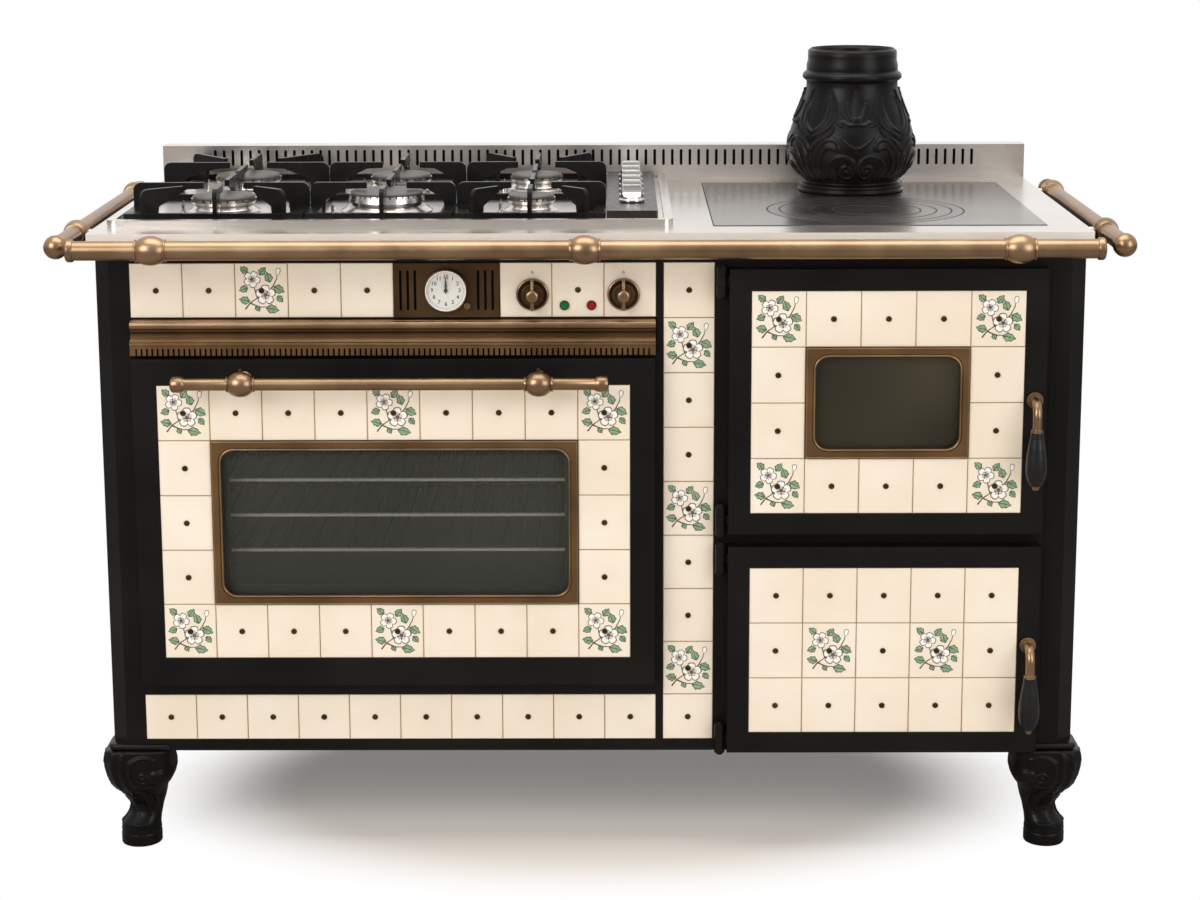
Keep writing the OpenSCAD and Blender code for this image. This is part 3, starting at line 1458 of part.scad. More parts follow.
// Rosette, elbow, collar, grip, tip, spindle through the door and the latch tongue behind it
module lever(z) {
    rod_r = lever_d/2;
    elbow_y = y_door - lever_reach + elbow_r;
    collar_z = z - 37;
    tongue_y = y_door_back + 2;
    r = grip_d/2;
    translate([lever_x, 0, z]) {
        rod_y(0, y_door - 5, y_door - 0.3, 0, rod_r + 5);
        rod_y(0, elbow_y, y_door - 1, 0, rod_r);
        translate([0, elbow_y, -elbow_r]) rotate([90, 0, -90]) rotate_extrude(angle = 90)
            translate([elbow_r, 0]) circle(rod_r, $fn = 32);
        rod_y(0, y_door - 2, tongue_y + 4, 0, lever_spindle_r);
        box(-lever_spindle_r, tongue_len, tongue_y, tongue_y + 4, -lever_spindle_r, lever_spindle_r);
    }
    translate([lever_x, y_door - lever_reach, collar_z]) {
        cylinder(r = rod_r, h = 37 - elbow_r);
        translate([0, 0, -3]) cylinder(r = rod_r + 2, h = 4);
        translate([0, 0, -3 - grip_len]) rotate_extrude() polygon([
            [0, 0], [r*0.52, 0], [r*0.8, grip_len*0.1], [r*0.96, grip_len*0.22], [r, grip_len*0.34],
            [r*0.95, grip_len*0.5], [r*0.82, grip_len*0.7], [r*0.66, grip_len*0.88], [r*0.6, grip_len],
            [0, grip_len]
        ]);
        translate([0, 0, -3 - grip_len - 6]) cylinder(r1 = 4, r2 = 6.5, h = 7);
    }
}

module fire_lever() {
    color(bronze) set_down() lever(fire_lever_z);
}

module lower_lever() {
    color(bronze) set_down() lever(low_lever_z);
}

// ---------- fire side ----------

module firebox() {
    floor_t = brick_t;
    runner_h = firebox_z - ash_z + 5;
    back = y_plate_back + firebox_d;
    color("#8f8579") set_down() {
        difference() {
            box(firebox_x[0], firebox_x[1], y_plate_back, back + brick_t, firebox_z, z_plate);
            box(fire_mouth[0], fire_mouth[1], y_plate_back - eps, back, fire_mouth[2], z_plate + eps);
            box(fire_grate_x, fire_grate_x + fire_grate_w, fire_grate_y, fire_grate_y + fire_grate_d,
                firebox_z + 8, fire_mouth[2] + eps);
            box(fire_grate_x + 8, fire_grate_x + fire_grate_w - 8, fire_grate_y + 8,
                fire_grate_y + fire_grate_d - 8, firebox_z - eps, firebox_z + 9);
        }
        // runners that carry the ash pan
        for (side = [0, 1]) {
            x = side == 0 ? ash_x - 6 : ash_x + ash_w + 3;
            box(x, x + 3, y_plate_back + 15, y_plate_back + 15 + ash_d, ash_z - 5, firebox_z);
            box(side == 0 ? x : x - 9, side == 0 ? x + 12 : x + 3, y_plate_back + 15,
                y_plate_back + 15 + ash_d, ash_z - 5, ash_z - 2);
        }
    }
}

module fire_grate() {
    bar = 12;
    slot = 9;
    n = floor((fire_grate_w - 2*bar - 2)/(bar + slot));
    z = firebox_z + 8.3;
    color(iron) set_down() translate([fire_grate_x + 1, fire_grate_y + 1, z])
        linear_extrude(fire_grate_t) difference() {
            square([fire_grate_w - 2, fire_grate_d - 2]);
            for (i = [0:n - 1], j = [0, 1])
                translate([(fire_grate_w - 2 - n*(bar + slot) + bar)/2 + i*(bar + slot),
                           bar + j*(fire_grate_d - 2 - bar)/2])
                    square([slot, (fire_grate_d - 2 - 3*bar)/2]);
        }
}

module ash_pan() {
    color("#4a4744") set_down() difference() {
        box(ash_x, ash_x + ash_w, y_plate_back + 20, y_plate_back + ash_d, ash_z - 1.7,
            ash_z + ash_pan_h - 1.7);
        box(ash_x + sheet_t, ash_x + ash_w - sheet_t, y_plate_back + 20 + sheet_t,
            y_plate_back + ash_d - sheet_t, ash_z - 1.7 + sheet_t, ash_z + ash_pan_h);
    }
}

base_frame();
feet();
cabinet_panels();
corner_posts();
front_frame();
cabinet_tiles();
worktop();
upstand();
towel_rails();
rear_inlets();
hob_pan();
burner_heads();
burner_caps();
control_strip();
gas_knob(1);  // gas_knob_1
gas_knob(2);  // gas_knob_2
gas_knob(3);  // gas_knob_3
gas_knob(4);  // gas_knob_4
gas_knob(5);  // gas_knob_5
gas_knob(6);  // gas_knob_6
grate_left();
grate_middle();
grate_right();
cooking_plate();
plate_ring(1);  // plate_ring_1
plate_ring(2);  // plate_ring_2
plate_ring(3);  // plate_ring_3
plate_ring(4);  // plate_ring_4
plate_lid();
flue_urn();
vent_cornice();
clock_panel();
clock_dial();
clock_glass_and_lamps();
minute_hand();
hour_hand();
clock_knob();
oven_knob(oven_knob_x[0]);  // oven_knob_left
oven_knob(oven_knob_x[1]);  // oven_knob_right
oven_liner();
oven_racks();
oven_elements();
oven_door_frame();
oven_door_tiles();
oven_window_frame();
oven_door_glass();
oven_door_liner();
oven_handle();
door_hinges();
fire_door_frame();
fire_door_tiles();
fire_window_frame();
fire_door_glass();
fire_lever();
lower_door_frame();
lower_door_tiles();
lower_lever();
firebox();
fire_grate();
ash_pan();
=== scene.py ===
# %% [markdown]
# # Range cooker with a gas hob, an electric oven and a wood fire
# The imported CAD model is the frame: its solids carry every size and every joint. This script
# gives them their finishes, and adds the pieces that need a finer hand: glazed tiles, painted
# sprigs, cast ornament, turned bronze and the clock face. The frame is loaded first.

# %% Load the frame
import bpy
import bmesh
import math
import numpy as np
from mathutils import Matrix, Vector


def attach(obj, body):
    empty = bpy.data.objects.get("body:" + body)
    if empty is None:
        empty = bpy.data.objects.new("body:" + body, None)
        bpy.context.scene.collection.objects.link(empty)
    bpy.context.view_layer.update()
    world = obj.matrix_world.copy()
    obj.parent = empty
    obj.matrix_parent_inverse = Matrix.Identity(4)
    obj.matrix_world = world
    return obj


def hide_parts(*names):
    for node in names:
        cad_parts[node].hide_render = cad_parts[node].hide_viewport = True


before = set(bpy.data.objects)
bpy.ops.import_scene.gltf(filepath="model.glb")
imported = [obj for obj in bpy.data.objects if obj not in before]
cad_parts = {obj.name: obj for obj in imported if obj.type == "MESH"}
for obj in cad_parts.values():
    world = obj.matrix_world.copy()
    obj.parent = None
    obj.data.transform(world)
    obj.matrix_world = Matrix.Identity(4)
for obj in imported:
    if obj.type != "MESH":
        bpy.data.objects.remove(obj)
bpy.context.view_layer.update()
bpy.context.scene.view_settings.view_transform = "Standard"

# %% [markdown]
# Sizes are written in millimetres: x from the middle of the cooker, y back from the worktop's
# front edge, z up from the floor. The frame's origin lies under the middle of the overall box,
# so one function turns such a place into Blender's metres.

# %% Places in millimetres
MIDDLE_Y = 292.25
DOOR_FRONT, WALL_FRONT = 8, 32
TILE_FRONT = {"oven_door": DOOR_FRONT, "fire_door": DOOR_FRONT, "lower_door": DOOR_FRONT, "cabinet": WALL_FRONT}
CLOCK_X, CLOCK_Z, DIAL_Y = -202.4, 830.0, 28.85
LAMPS_X, LAMP_Z = (-35.95, 2.05), 808
OVEN_KNOBS_X, OVEN_KNOB_Z = {"left": -80.95, "right": 47.05}, 824
PLATE_X, PLATE_Y, PLATE_TOP = 404.0, 226.0, 916.0


def place(x, y, z):
    return Vector((x / 1000, (y - MIDDLE_Y) / 1000, z / 1000))


# %% [markdown]
# ## Finishes
# Colours are written as they look on a screen, in sRGB hex, and Blender works in linear light,
# so one function turns them. A second one adds a node with its settings and its links. The
# others build a finish from these: a colour, a roughness and a relief, each led by a pattern. A
# pattern's scale counts its grains per metre, so 330 makes grains 3 mm wide.

# %% Colour and node helpers
def linear(hex_colour):
    parts = [int(hex_colour[i:i + 2], 16) / 255 for i in (1, 3, 5)]
    return tuple(c / 12.92 if c <= 0.04045 else ((c + 0.055) / 1.055) ** 2.4 for c in parts) + (1.0,)


def add_node(tree, kind, links=(), **settings):
    node = tree.nodes.new(kind)
    for key, value in settings.items():
        if key.startswith("in_"):
            name = key[3:].replace("_", " ")
            socket = node.inputs[int(name)] if name.isdigit() else node.inputs[name]
            socket.default_value = value
        else:
            setattr(node, key, value)
    for source, target in links:
        tree.links.new(source, node.inputs[target])
    return node


def draw_grain(tree, where, per_metre, detail=3.0, stretch=(1, 1, 1)):
    stretched = add_node(tree, "ShaderNodeMapping", [(where, "Vector")], in_Scale=stretch)
    return add_node(tree, "ShaderNodeTexNoise", [(stretched.outputs["Vector"], "Vector")],
                    in_Scale=per_metre, in_Detail=detail).outputs["Fac"]


# Low and high colour lie at the two stops of the pattern. Where edges are given, the raised
# edges of the casting or tile take a colour of their own.
def colour_over(tree, shader, pattern, low, high, stops, edges):
    ramp = add_node(tree, "ShaderNodeValToRGB", [(pattern, "Fac")])
    for element, stop, shade in zip(ramp.color_ramp.elements, stops, (low, high)):
        element.position, element.color = stop, linear(shade)
    colour = ramp.outputs["Color"]
    if edges:
        shade, start, end, most = edges
        convex = add_node(tree, "ShaderNodeNewGeometry").outputs["Pointiness"]
        share = add_node(tree, "ShaderNodeMapRange", [(convex, "Value")], in_From_Min=start, in_From_Max=end,
                         in_To_Max=most)
        colour = add_node(tree, "ShaderNodeMix", [(share.outputs["Result"], "Factor"), (colour, 6)],
                          data_type="RGBA", in_7=linear(shade)).outputs[2]
    tree.links.new(colour, shader.inputs["Base Color"])


def raise_relief(tree, shader, pattern, strength, depth, edge_radius):
    links = [(pattern, "Height")]
    if edge_radius:
        rounded = add_node(tree, "ShaderNodeBevel", in_Radius=edge_radius, samples=4)
        links.append((rounded.outputs["Normal"], "Normal"))
    bump = add_node(tree, "ShaderNodeBump", links, in_Strength=strength, in_Distance=depth)
    tree.links.new(bump.outputs["Normal"], shader.inputs["Normal"])


# cloud leads the colour, and the roughness as well unless rough has a scale of its own.
# bump is a pattern, its strength, its depth and the radius of softened edges, in metres.
def make_finish(name, low, high, cloud, rough=(), bump=(), stops=(0.35, 0.65), edges=(), **values):
    material = bpy.data.materials.new(name)
    material.use_nodes = True
    tree = material.node_tree
    shader = tree.nodes["Principled BSDF"]
    where = add_node(tree, "ShaderNodeTexCoord").outputs["Object"]

    def draw(pattern):
        return pattern(tree, where) if callable(pattern) else draw_grain(tree, where, *pattern)

    for key, value in values.items():
        shader.inputs[key.replace("_", " ")].default_value = value
    drawn = draw(cloud)
    if high:
        colour_over(tree, shader, drawn, low, high, stops, edges)
    else:
        shader.inputs["Base Color"].default_value = linear(low)
    if rough:
        lead = draw(rough[2:]) if len(rough) > 2 else drawn
        span = add_node(tree, "ShaderNodeMapRange", [(lead, "Value")], in_From_Min=0.3, in_From_Max=0.7,
                        in_To_Min=rough[0], in_To_Max=rough[1])
        tree.links.new(span.outputs["Result"], shader.inputs["Roughness"])
    if bump:
        raise_relief(tree, shader, draw(bump[0]), *bump[1:])
    print("finish", name)
    return material


# %% [markdown]
# **Black stove enamel.** The cabinet is steel sheet, painted and baked. It is nearly black, a
# little brown, and its slight orange peel, grains about 3 mm wide, breaks up the reflections.

# %% Black stove enamel
black_enamel = make_finish("baked_black_enamel", "#100f0e", "#171513", (6,), (0.30, 0.42),
                           ((330, 1.5), 0.06, 0.0003, 0.0026), Specular_IOR_Level=0.14)


# %% [markdown]
# **Grey cast iron, blacked.** Feet, urn, pan supports and burner caps are sand castings. The sand
# leaves a skin with pits about 1 mm wide, and the edges that hands and pans rub are a bit paler.

# %% Blacked cast iron
def make_cast_iron(name, low, high, worn, rough, shine):
    return make_finish(name, low, high, (30,), (rough - 0.06, rough + 0.08), ((900, 4), 0.16, 0.0006, 0.0012),
                       edges=(worn, 0.51, 0.58, 1.0), Specular_IOR_Level=shine)


urn_iron = make_cast_iron("cast_iron_stove_black", "#0b0a09", "#110f0e", "#1a1714", 0.3, 0.14)
grate_iron = make_cast_iron("cast_iron_pan_support", "#070706", "#0e0d0c", "#1b1a19", 0.25, 0.11)
cap_enamel = make_cast_iron("brushed_burner_cap", "#3f3b38", "#4d4946", "#5c5753", 0.42, 0.4)


# %% [markdown]
# **Antique bronze.** Rails, handle, cornice, frames and knobs are brass, darkened in a bath and
# relieved by hand. Hollows stay brown, raised places show the yellow metal.

# %% Antique bronze
def make_bronze(name, low, high, rough):
    return make_finish(name, low, high, (14,), (rough - 0.04, rough + 0.06), ((260,), 0.04, 0.0003, 0.0008),
                       (0.3, 0.72), Metallic=1.0)


bronze = make_bronze("relieved_antique_bronze", "#8c7156", "#ad8f6f", 0.32)
frame_bronze = make_bronze("flat_antique_bronze", "#7c5e40", "#92704b", 0.38)
# Dark bronze: brown patina in the hollows, and painted shade where it darkens the cornice's cove and the oven knobs'
# grooves. The clock panel is given it too.
dark_bronze_and_cove_shade = make_bronze("dark_bronze_and_painted_cove_shade", "#513e2b", "#675039", 0.4)
screw_bronze = make_bronze("dark_bronze_screw", "#4d3b2a", "#65503a", 0.34)

# %% [markdown]
# **Brushed stainless steel.** Worktop, upstand and hob pan are 18/10 sheet, brushed along the
# length. The brush marks are finer than a pixel, so they are drawn about 1 mm wide. The rings
# and the lid of the plate are faced on a lathe, which leaves fine circles round their middle.

# %% Brushed stainless steel and machined plate
LENGTHWISE = (0.02, 1, 1)


def make_stainless(name, low, high, rough, stretch=LENGTHWISE, metallic=1.0):
    lines = (900, 2, stretch)
    return make_finish(name, low, high, lines, (rough - 0.04, rough + 0.04, 5), (lines, 0.05, 0.0001, 0),
                       (0.2, 0.8), Metallic=metallic)


def draw_circles(tree, where):
    middle = add_node(tree, "ShaderNodeMapping", [(where, "Vector")], in_Location=-place(PLATE_X, PLATE_Y, 0))
    return add_node(tree, "ShaderNodeTexWave", [(middle.outputs["Vector"], "Vector")], wave_type="RINGS",
                    rings_direction="Z", in_Scale=100.0, in_Distortion=0.3).outputs["Fac"]


stainless = make_stainless("brushed_stainless_steel", "#dad3cc", "#e6dfd8", 0.27)
# Painted highlight: the worktop's front band is paler and half metallic, standing for the bright reflection along it.
front_band_painted_highlight = make_stainless("brushed_front_band_painted_highlight", "#e6e0d9", "#f1ebe4", 0.42, metallic=0.5)
burner_metal = make_stainless("cast_aluminium_burner", "#c9c4be", "#d8d3cd", 0.24, (1, 1, 1))
machined_plate = make_stainless("machined_iron_plate", "#8a837d", "#98918a", 0.27)
turned_plate = make_finish("lathe_turned_plate", "#7d7670", "#938c85", draw_circles, (0.24, 0.36, 9),
                           (draw_circles, 0.12, 0.0002, 0), (0.2, 0.8), Metallic=1.0)


# %% [markdown]
# ** Plain surfaces.** The gas knobs are polished chrome on zinc, and the strip under them is dark
# lacquered steel. Oven enamel, firebrick, resin grips, dial paint and mortar have one colour each,
# and a faint unevenness of gloss. The chromed racks are dark with painted shade, and their front
# wires are pale as a painted highlight. The black behind the slots is painted shade, and the same
# black is the lamp bezels' paint. The dark seams of the plate are painted shade.

# %% Chrome, black metal, racks, brick and paint
def make_plain(name, colour, rough, per_metre=200, metallic=0.0, shine=0.5):
    return make_finish(name, colour, None, (per_metre,), (rough * 0.8, rough * 1.2),
                       ((per_metre,), 0.04, 0.0003, 0.0008), Metallic=metallic, Specular_IOR_Level=shine)


chrome = make_plain("polished_chrome", "#dedbd7", 0.1, metallic=1.0)
dark_strip = make_plain("dark_lacquered_steel", "#34302c", 0.35, metallic=0.6)
# Painted shade and highlight: the rack wires are dark as if in the oven's shade, and their front wires pale as if
# lit.
rack_wire_painted_shade = make_plain("shaded_rack_wire", "#3b3a37", 0.4, metallic=0.5)
rack_front_painted_highlight = make_plain("rack_front_wire_painted_highlight", "#efece7", 0.3, metallic=0.2)
oven_enamel = make_plain("speckled_oven_enamel", "#4a4a45", 0.35, 1500)
firebrick = make_plain("firebrick", "#8a7d6c", 0.9, 60)
grip_black = make_plain("black_grip_resin", "#151515", 0.34, 50, shine=0.3)
dial_white = make_plain("white_dial_paint", "#fbf8f2", 0.4, 300)
ink_black = make_plain("black_dial_ink", "#16130f", 0.4, 300)
# Painted shade: black put behind slots and recesses; the same black is the lamp bezels' own paint.
black_and_painted_slot_shade = make_plain("black_paint_and_painted_slot_shade", "#0b0a09", 0.8, 300)
joint_grey = make_plain("tile_joint_mortar", "#a8977c", 0.9, 900)
# Painted shade: a dark ring laid over each seam of the plate.
seam_painted_shade = make_plain("ring_seam_painted_shade", "#1c1917", 0.7, 600)

# %% [markdown]
# ** Glazed earthenware tile.** A cream glaze, thick and glossy, which is a little darker on the
# rounded edges and has long soft waves.

# %% Glazed tile
tile_glaze = make_finish("cream_tile_glaze", "#e3d6c2", "#e9dfcf", (9,), (), ((28, 1), 0.10, 0.002, 0), (0.3, 0.7),
                         ("#ddcbb0", 0.52, 0.6, 0.8), Roughness=0.16, IOR=1.52)


# %% [markdown]
# **Glass.** The oven door has tinted panes, the fire door ceramic glass with a film of soot. Both
# look dark because the space behind is dark. A share of each pane is film, and the rest tints
# what shows through. The pilot lenses are nearly all film.

# %% Glass and lamps
def make_pane(name, tint, film, film_high, film_share, rough):
    material = make_finish(name, film, film_high, (4, 1), (rough, rough + 0.02), (), (0.3, 0.7))
    tree = material.node_tree
    through = add_node(tree, "ShaderNodeBsdfTransparent", in_Color=linear(tint))
    rim = add_node(tree, "ShaderNodeLayerWeight", in_Blend=0.25)
    share = add_node(tree, "ShaderNodeMapRange", [(rim.outputs["Fresnel"], "Value")],
                     in_To_Min=film_share, in_To_Max=1.0)
    both = add_node(tree, "ShaderNodeMixShader", [(share.outputs["Result"], 0), (through.outputs[0], 1),
                                                  (tree.nodes["Principled BSDF"].outputs[0], 2)])
    tree.links.new(both.outputs[0], tree.nodes["Material Output"].inputs["Surface"])
    return material


oven_glass = make_pane("tinted_oven_glass", "#fafaf8", "#72746e", "#80827c", 0.07, 0.06)
fire_glass = make_pane("ceramic_fire_glass", "#d8d4c4", "#3d3a2f", "#635d4a", 0.45, 0.12)
clock_glass = make_pane("clear_clock_glass", "#fdfdfd", "#f4f6f6", "#f8faf9", 0.02, 0.02)
green_lamp = make_pane("green_pilot_lens", "#0f5c33", "#0a5a30", "#0f6a3b", 0.9, 0.2)
red_lamp = make_pane("red_pilot_lens", "#7c1016", "#7a0b13", "#94131b", 0.9, 0.2)


# %% [markdown]
# **Underglaze paint.** Leaf green, petal white and their outlines are brushed on before the glaze,
# so they are as glossy as the tile, and the brush leaves them uneven.

# %% Underglaze paints
def make_paint(name, low, high):
    return make_finish(name, low, high, (260,), (0.16, 0.22))


paint_leaf = make_paint("leaf_green_paint", "#6b8a69", "#92ab8a")
paint_line = make_paint("dark_leaf_outline", "#2f4136", "#42543f")
paint_stem = make_paint("brown_stem_paint", "#4e4230", "#786848")
paint_petal = make_paint("petal_white_paint", "#e9e5df", "#f3f0ea")
paint_shade = make_paint("petal_shadow_paint", "#b4aea9", "#cbc6c0")
paint_petal_line = make_paint("petal_outline_paint", "#58534e", "#78726b")

# %% [markdown]
# Every CAD solid keeps its shape and gets its finish here.

# %% Give the CAD solids their finishes
finishes = {
    black_enamel: ["base_frame", "cabinet_panels", "corner_posts", "front_frame", "door_hinges",
                   "oven_door_frame", "fire_door_frame", "lower_door_frame"],
    urn_iron: ["feet", "flue_urn", "fire_grate"],
    grate_iron: ["grate_left", "grate_middle", "grate_right"],
    cap_enamel: ["burner_caps"],
    bronze: ["towel_rails", "rear_inlets", "clock_knob",
             "oven_knob_left", "oven_knob_right", "oven_handle", "fire_lever", "lower_lever"],
    dark_bronze_and_cove_shade: ["clock_panel"],
    frame_bronze: ["vent_cornice", "oven_window_frame", "fire_window_frame"],
    stainless: ["worktop", "upstand", "hob_pan"],
    burner_metal: ["burner_heads"],
    machined_plate: ["cooking_plate"],
    turned_plate: ["plate_ring_1", "plate_ring_2", "plate_ring_3", "plate_ring_4", "plate_lid"],
    chrome: ["gas_knob_%d" % i for i in range(1, 7)],
    dark_strip: ["control_strip"],
    rack_wire_painted_shade: ["oven_racks"],
    oven_enamel: ["oven_liner", "oven_elements", "oven_door_liner", "ash_pan"],
    firebrick: ["firebox"],
    tile_glaze: ["cabinet_tiles", "oven_door_tiles", "fire_door_tiles", "lower_door_tiles"],
    oven_glass: ["oven_door_glass"],
    fire_glass: ["fire_door_glass"],
    clock_glass: ["clock_glass_and_lamps"],
    dial_white: ["clock_dial"],
    ink_black: ["minute_hand", "hour_hand"],
}
for material, names in finishes.items():
    for name in names:
        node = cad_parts[name]
        node.data.materials.clear()
        node.data.materials.append(material)
left_out = set(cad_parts) - {n for names in finishes.values() for n in names}
print("finished", sum(len(n) for n in finishes.values()), "solids, left out:", left_out)

# %% [markdown]
# A few solids carry two finishes. Their faces are sorted by where they lie, in millimetres: the
# grip of each lever is black, its elbow and tip are bronze, the spaces behind the slots are black
# as painted shade, the front wires of the racks are pale as a painted highlight, the worktop's front
# band is paler as a painted highlight, the cornice's cove is dark bronze with painted shade, and the
# two pilot lamps have coloured lenses.

# %% Second finishes
LENS_REACH = 9


def finish_faces(name, material, test):
    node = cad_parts[name]
    node.data.materials.append(material)
    chosen = [face for face in node.data.polygons if test(face.center * 1000 + Vector((0, MIDDLE_Y, 0)))]
    for face in chosen:
        face.material_index = len(node.data.materials) - 1
    print(name, len(chosen), "faces take", material.name)


# Painted highlight on the front wires of the racks; the rest keeps the painted shade.
rack_y = min(v.co.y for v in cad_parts["oven_racks"].data.vertices) * 1000 + MIDDLE_Y
finish_faces("oven_racks", rack_front_painted_highlight, lambda at: at.y < rack_y + 0.3 or abs(at.y - rack_y - 2.5) < 2.4)
# Painted highlight on the worktop's front band.
finish_faces("worktop", front_band_painted_highlight, lambda at: at.y < 3)
for lever, grip_middle in (("fire_lever", 598), ("lower_lever", 240)):
    finish_faces(lever, grip_black, lambda at: abs(at.z - grip_middle) < 39 and at.y < 10)
# Painted shade: the spaces behind the slots of the upstand, the cornice and the clock panel are black.
finish_faces("upstand", black_and_painted_slot_shade, lambda at: 612.6 < at.y < 649.5 and 925 < at.z < 968.5 and abs(at.x) < 640)
finish_faces("vent_cornice", bronze, lambda at: at.z > 779 or 754.2 < at.z < 760)
# Painted shade: the cove under the top bead takes the dark bronze, with its brown patina.
finish_faces("vent_cornice", dark_bronze_and_cove_shade, lambda at: 764.5 < at.z < 779 and at.y > 17.5)
finish_faces("vent_cornice", black_and_painted_slot_shade, lambda at: at.z < 752 and at.y > 12.4)
finish_faces("clock_panel", black_and_painted_slot_shade, lambda at: at.y > 30.4 and abs(at.z - CLOCK_Z) < 29)
for lens, lamp_x in zip((green_lamp, red_lamp), LAMPS_X):
    finish_faces("clock_glass_and_lamps", lens, lambda at: abs(at.x - lamp_x) < LENS_REACH)


# %% [markdown]
# ## Making a piece
# Each piece starts as a plain solid, gets its shape in edit mode, and is settled at last: its
# place goes into the mesh, it takes its finish, and it rides the part of the cooker it sits on.
# Where it stands for a CAD solid, that solid is hidden.

# %% Working helpers
ALONG_X, ALONG_Y, TO_FRONT, UPRIGHT = (0, math.pi / 2, 0), (-math.pi / 2, 0, 0), (math.pi / 2, 0, 0), (0, 0, 0)


def work_on(*pieces):
    if bpy.context.object and bpy.context.object.mode != "OBJECT":
        bpy.ops.object.mode_set(mode="OBJECT")
    bpy.ops.object.select_all(action="DESELECT")
    for piece in pieces:
        piece.select_set(True)
    if pieces:
        bpy.context.view_layer.objects.active = pieces[0]


def add_piece(operator, apply=True, **settings):
    work_on()
    operator(**settings)
    if apply:
        bpy.ops.object.transform_apply(location=True, rotation=True, scale=True)
    return bpy.context.object


def to_edit(piece):
    work_on(piece)
    bpy.ops.object.mode_set(mode="EDIT")
    bpy.ops.mesh.select_mode(type="FACE")


def pick(piece, kind, test):
    mesh = bmesh.from_edit_mesh(piece.data)
    for element in (*mesh.verts, *mesh.edges, *mesh.faces):
        element.select_set(False)
    for element in getattr(mesh, kind):
        if test(element):
            element.select_set(True)
    bmesh.update_edit_mesh(piece.data)


def pick_faces(piece, test):
    pick(piece, "faces", test)


def pick_edges(piece, test):
    pick(piece, "edges", lambda edge: test(*[vertex.co for vertex in edge.verts]))


def face_outward(merge=None):
    bpy.ops.mesh.select_all(action="SELECT")
    if merge:
        bpy.ops.mesh.remove_doubles(threshold=merge)
    bpy.ops.mesh.normals_make_consistent(inside=False)
    bpy.ops.object.mode_set(mode="OBJECT")


def dress(piece, finish=None, angle=None):
    work_on(piece)
    if angle:
        bpy.ops.object.shade_smooth_by_angle(angle=angle)
    if finish:
        piece.data.materials.append(finish)
    return piece


def points_of(piece):
    points = np.empty(len(piece.data.vertices) * 3)
    piece.data.vertices.foreach_get("co", points)
    return points.reshape(-1, 3)


def set_points(piece, points):
    piece.data.vertices.foreach_set("co", np.ravel(points))
    piece.data.update()


def copy_of(piece):
    other = piece.copy()
    other.data = piece.data.copy()
    bpy.context.collection.objects.link(other)
    return other


def join_all(pieces):
    work_on(*pieces)
    bpy.ops.object.join()
    return pieces[0]


def settle(piece, name, body, finish=None, node=None):
    work_on(piece)
    bpy.ops.object.transform_apply(location=True, rotation=True, scale=True)
    piece.name = piece.data.name = name
    if finish:
        piece.data.materials.clear()
        piece.data.materials.append(finish)
    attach(piece, body)
    if node:
        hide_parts(node)
    print(name, "triangles", sum(len(p.vertices) - 2 for p in piece.data.polygons),
          "size mm", (np.ptp(points_of(piece), axis=0) * 1000).round(1).tolist())


# %% [markdown]
# ## Glazed tiles
# Each tile is pressed clay, dipped in glaze and fired. The glaze rounds the front edges and
# leaves the face very slightly proud. One tile is made, and copied to each place in the fields.
# A copy is made wider or taller by moving its two halves apart, so that its rounded edges keep
# their size. Behind each tile lies a thin bed of mortar, which shows in the joints.

# %% One tile
TILE, TILE_DEPTH, JOINT = 0.07, 0.006, 0.001
BED, BED_DEPTH, BED_Y = TILE + 0.0008, 0.004, 0.0032


def make_tile():
    tile = add_piece(bpy.ops.mesh.primitive_cube_add, size=1, location=(0, TILE_DEPTH / 2, 0),
                     scale=(TILE, TILE_DEPTH, TILE))
    to_edit(tile)
    pick_edges(tile, lambda a, b: a.y < 1e-4 and b.y < 1e-4)
    bpy.ops.mesh.bevel(offset=0.0013, offset_type="OFFSET", segments=3, profile=0.6)
    pick_faces(tile, lambda f: f.normal.y < -0.99 and f.calc_area() > 0.001)
    bpy.ops.mesh.inset(thickness=0.005)
    bpy.ops.transform.translate(value=(0, -0.00025, 0))
    return dress(tile, tile_glaze, 0.9)


def make_mortar_bed():
    bed = add_piece(bpy.ops.mesh.primitive_cube_add, size=1, location=(0, BED_Y, 0),
                    scale=(BED, BED_DEPTH, BED))
    to_edit(bed)
    pick_faces(bed, lambda f: f.normal.y < -0.99)
    bpy.ops.mesh.inset(thickness=0.004)
    bpy.ops.transform.translate(value=(0, 0.0006, 0))
    return dress(bed, joint_grey)


pattern_tile = join_all([make_tile(), make_mortar_bed()])
print("one tile has", len(pattern_tile.data.polygons), "faces")


# %% Fields of tiles
def grid_cells(x0, x1, z0, z1, columns, rows, window=()):
    wide, tall = (x1 - x0) / columns, (z1 - z0) / rows
    return [(x0 + (i + 0.5) * wide, z0 + (j + 0.5) * tall, wide, tall, (i, j))
            for j in range(rows) for i in range(columns) if (i, j) not in window]


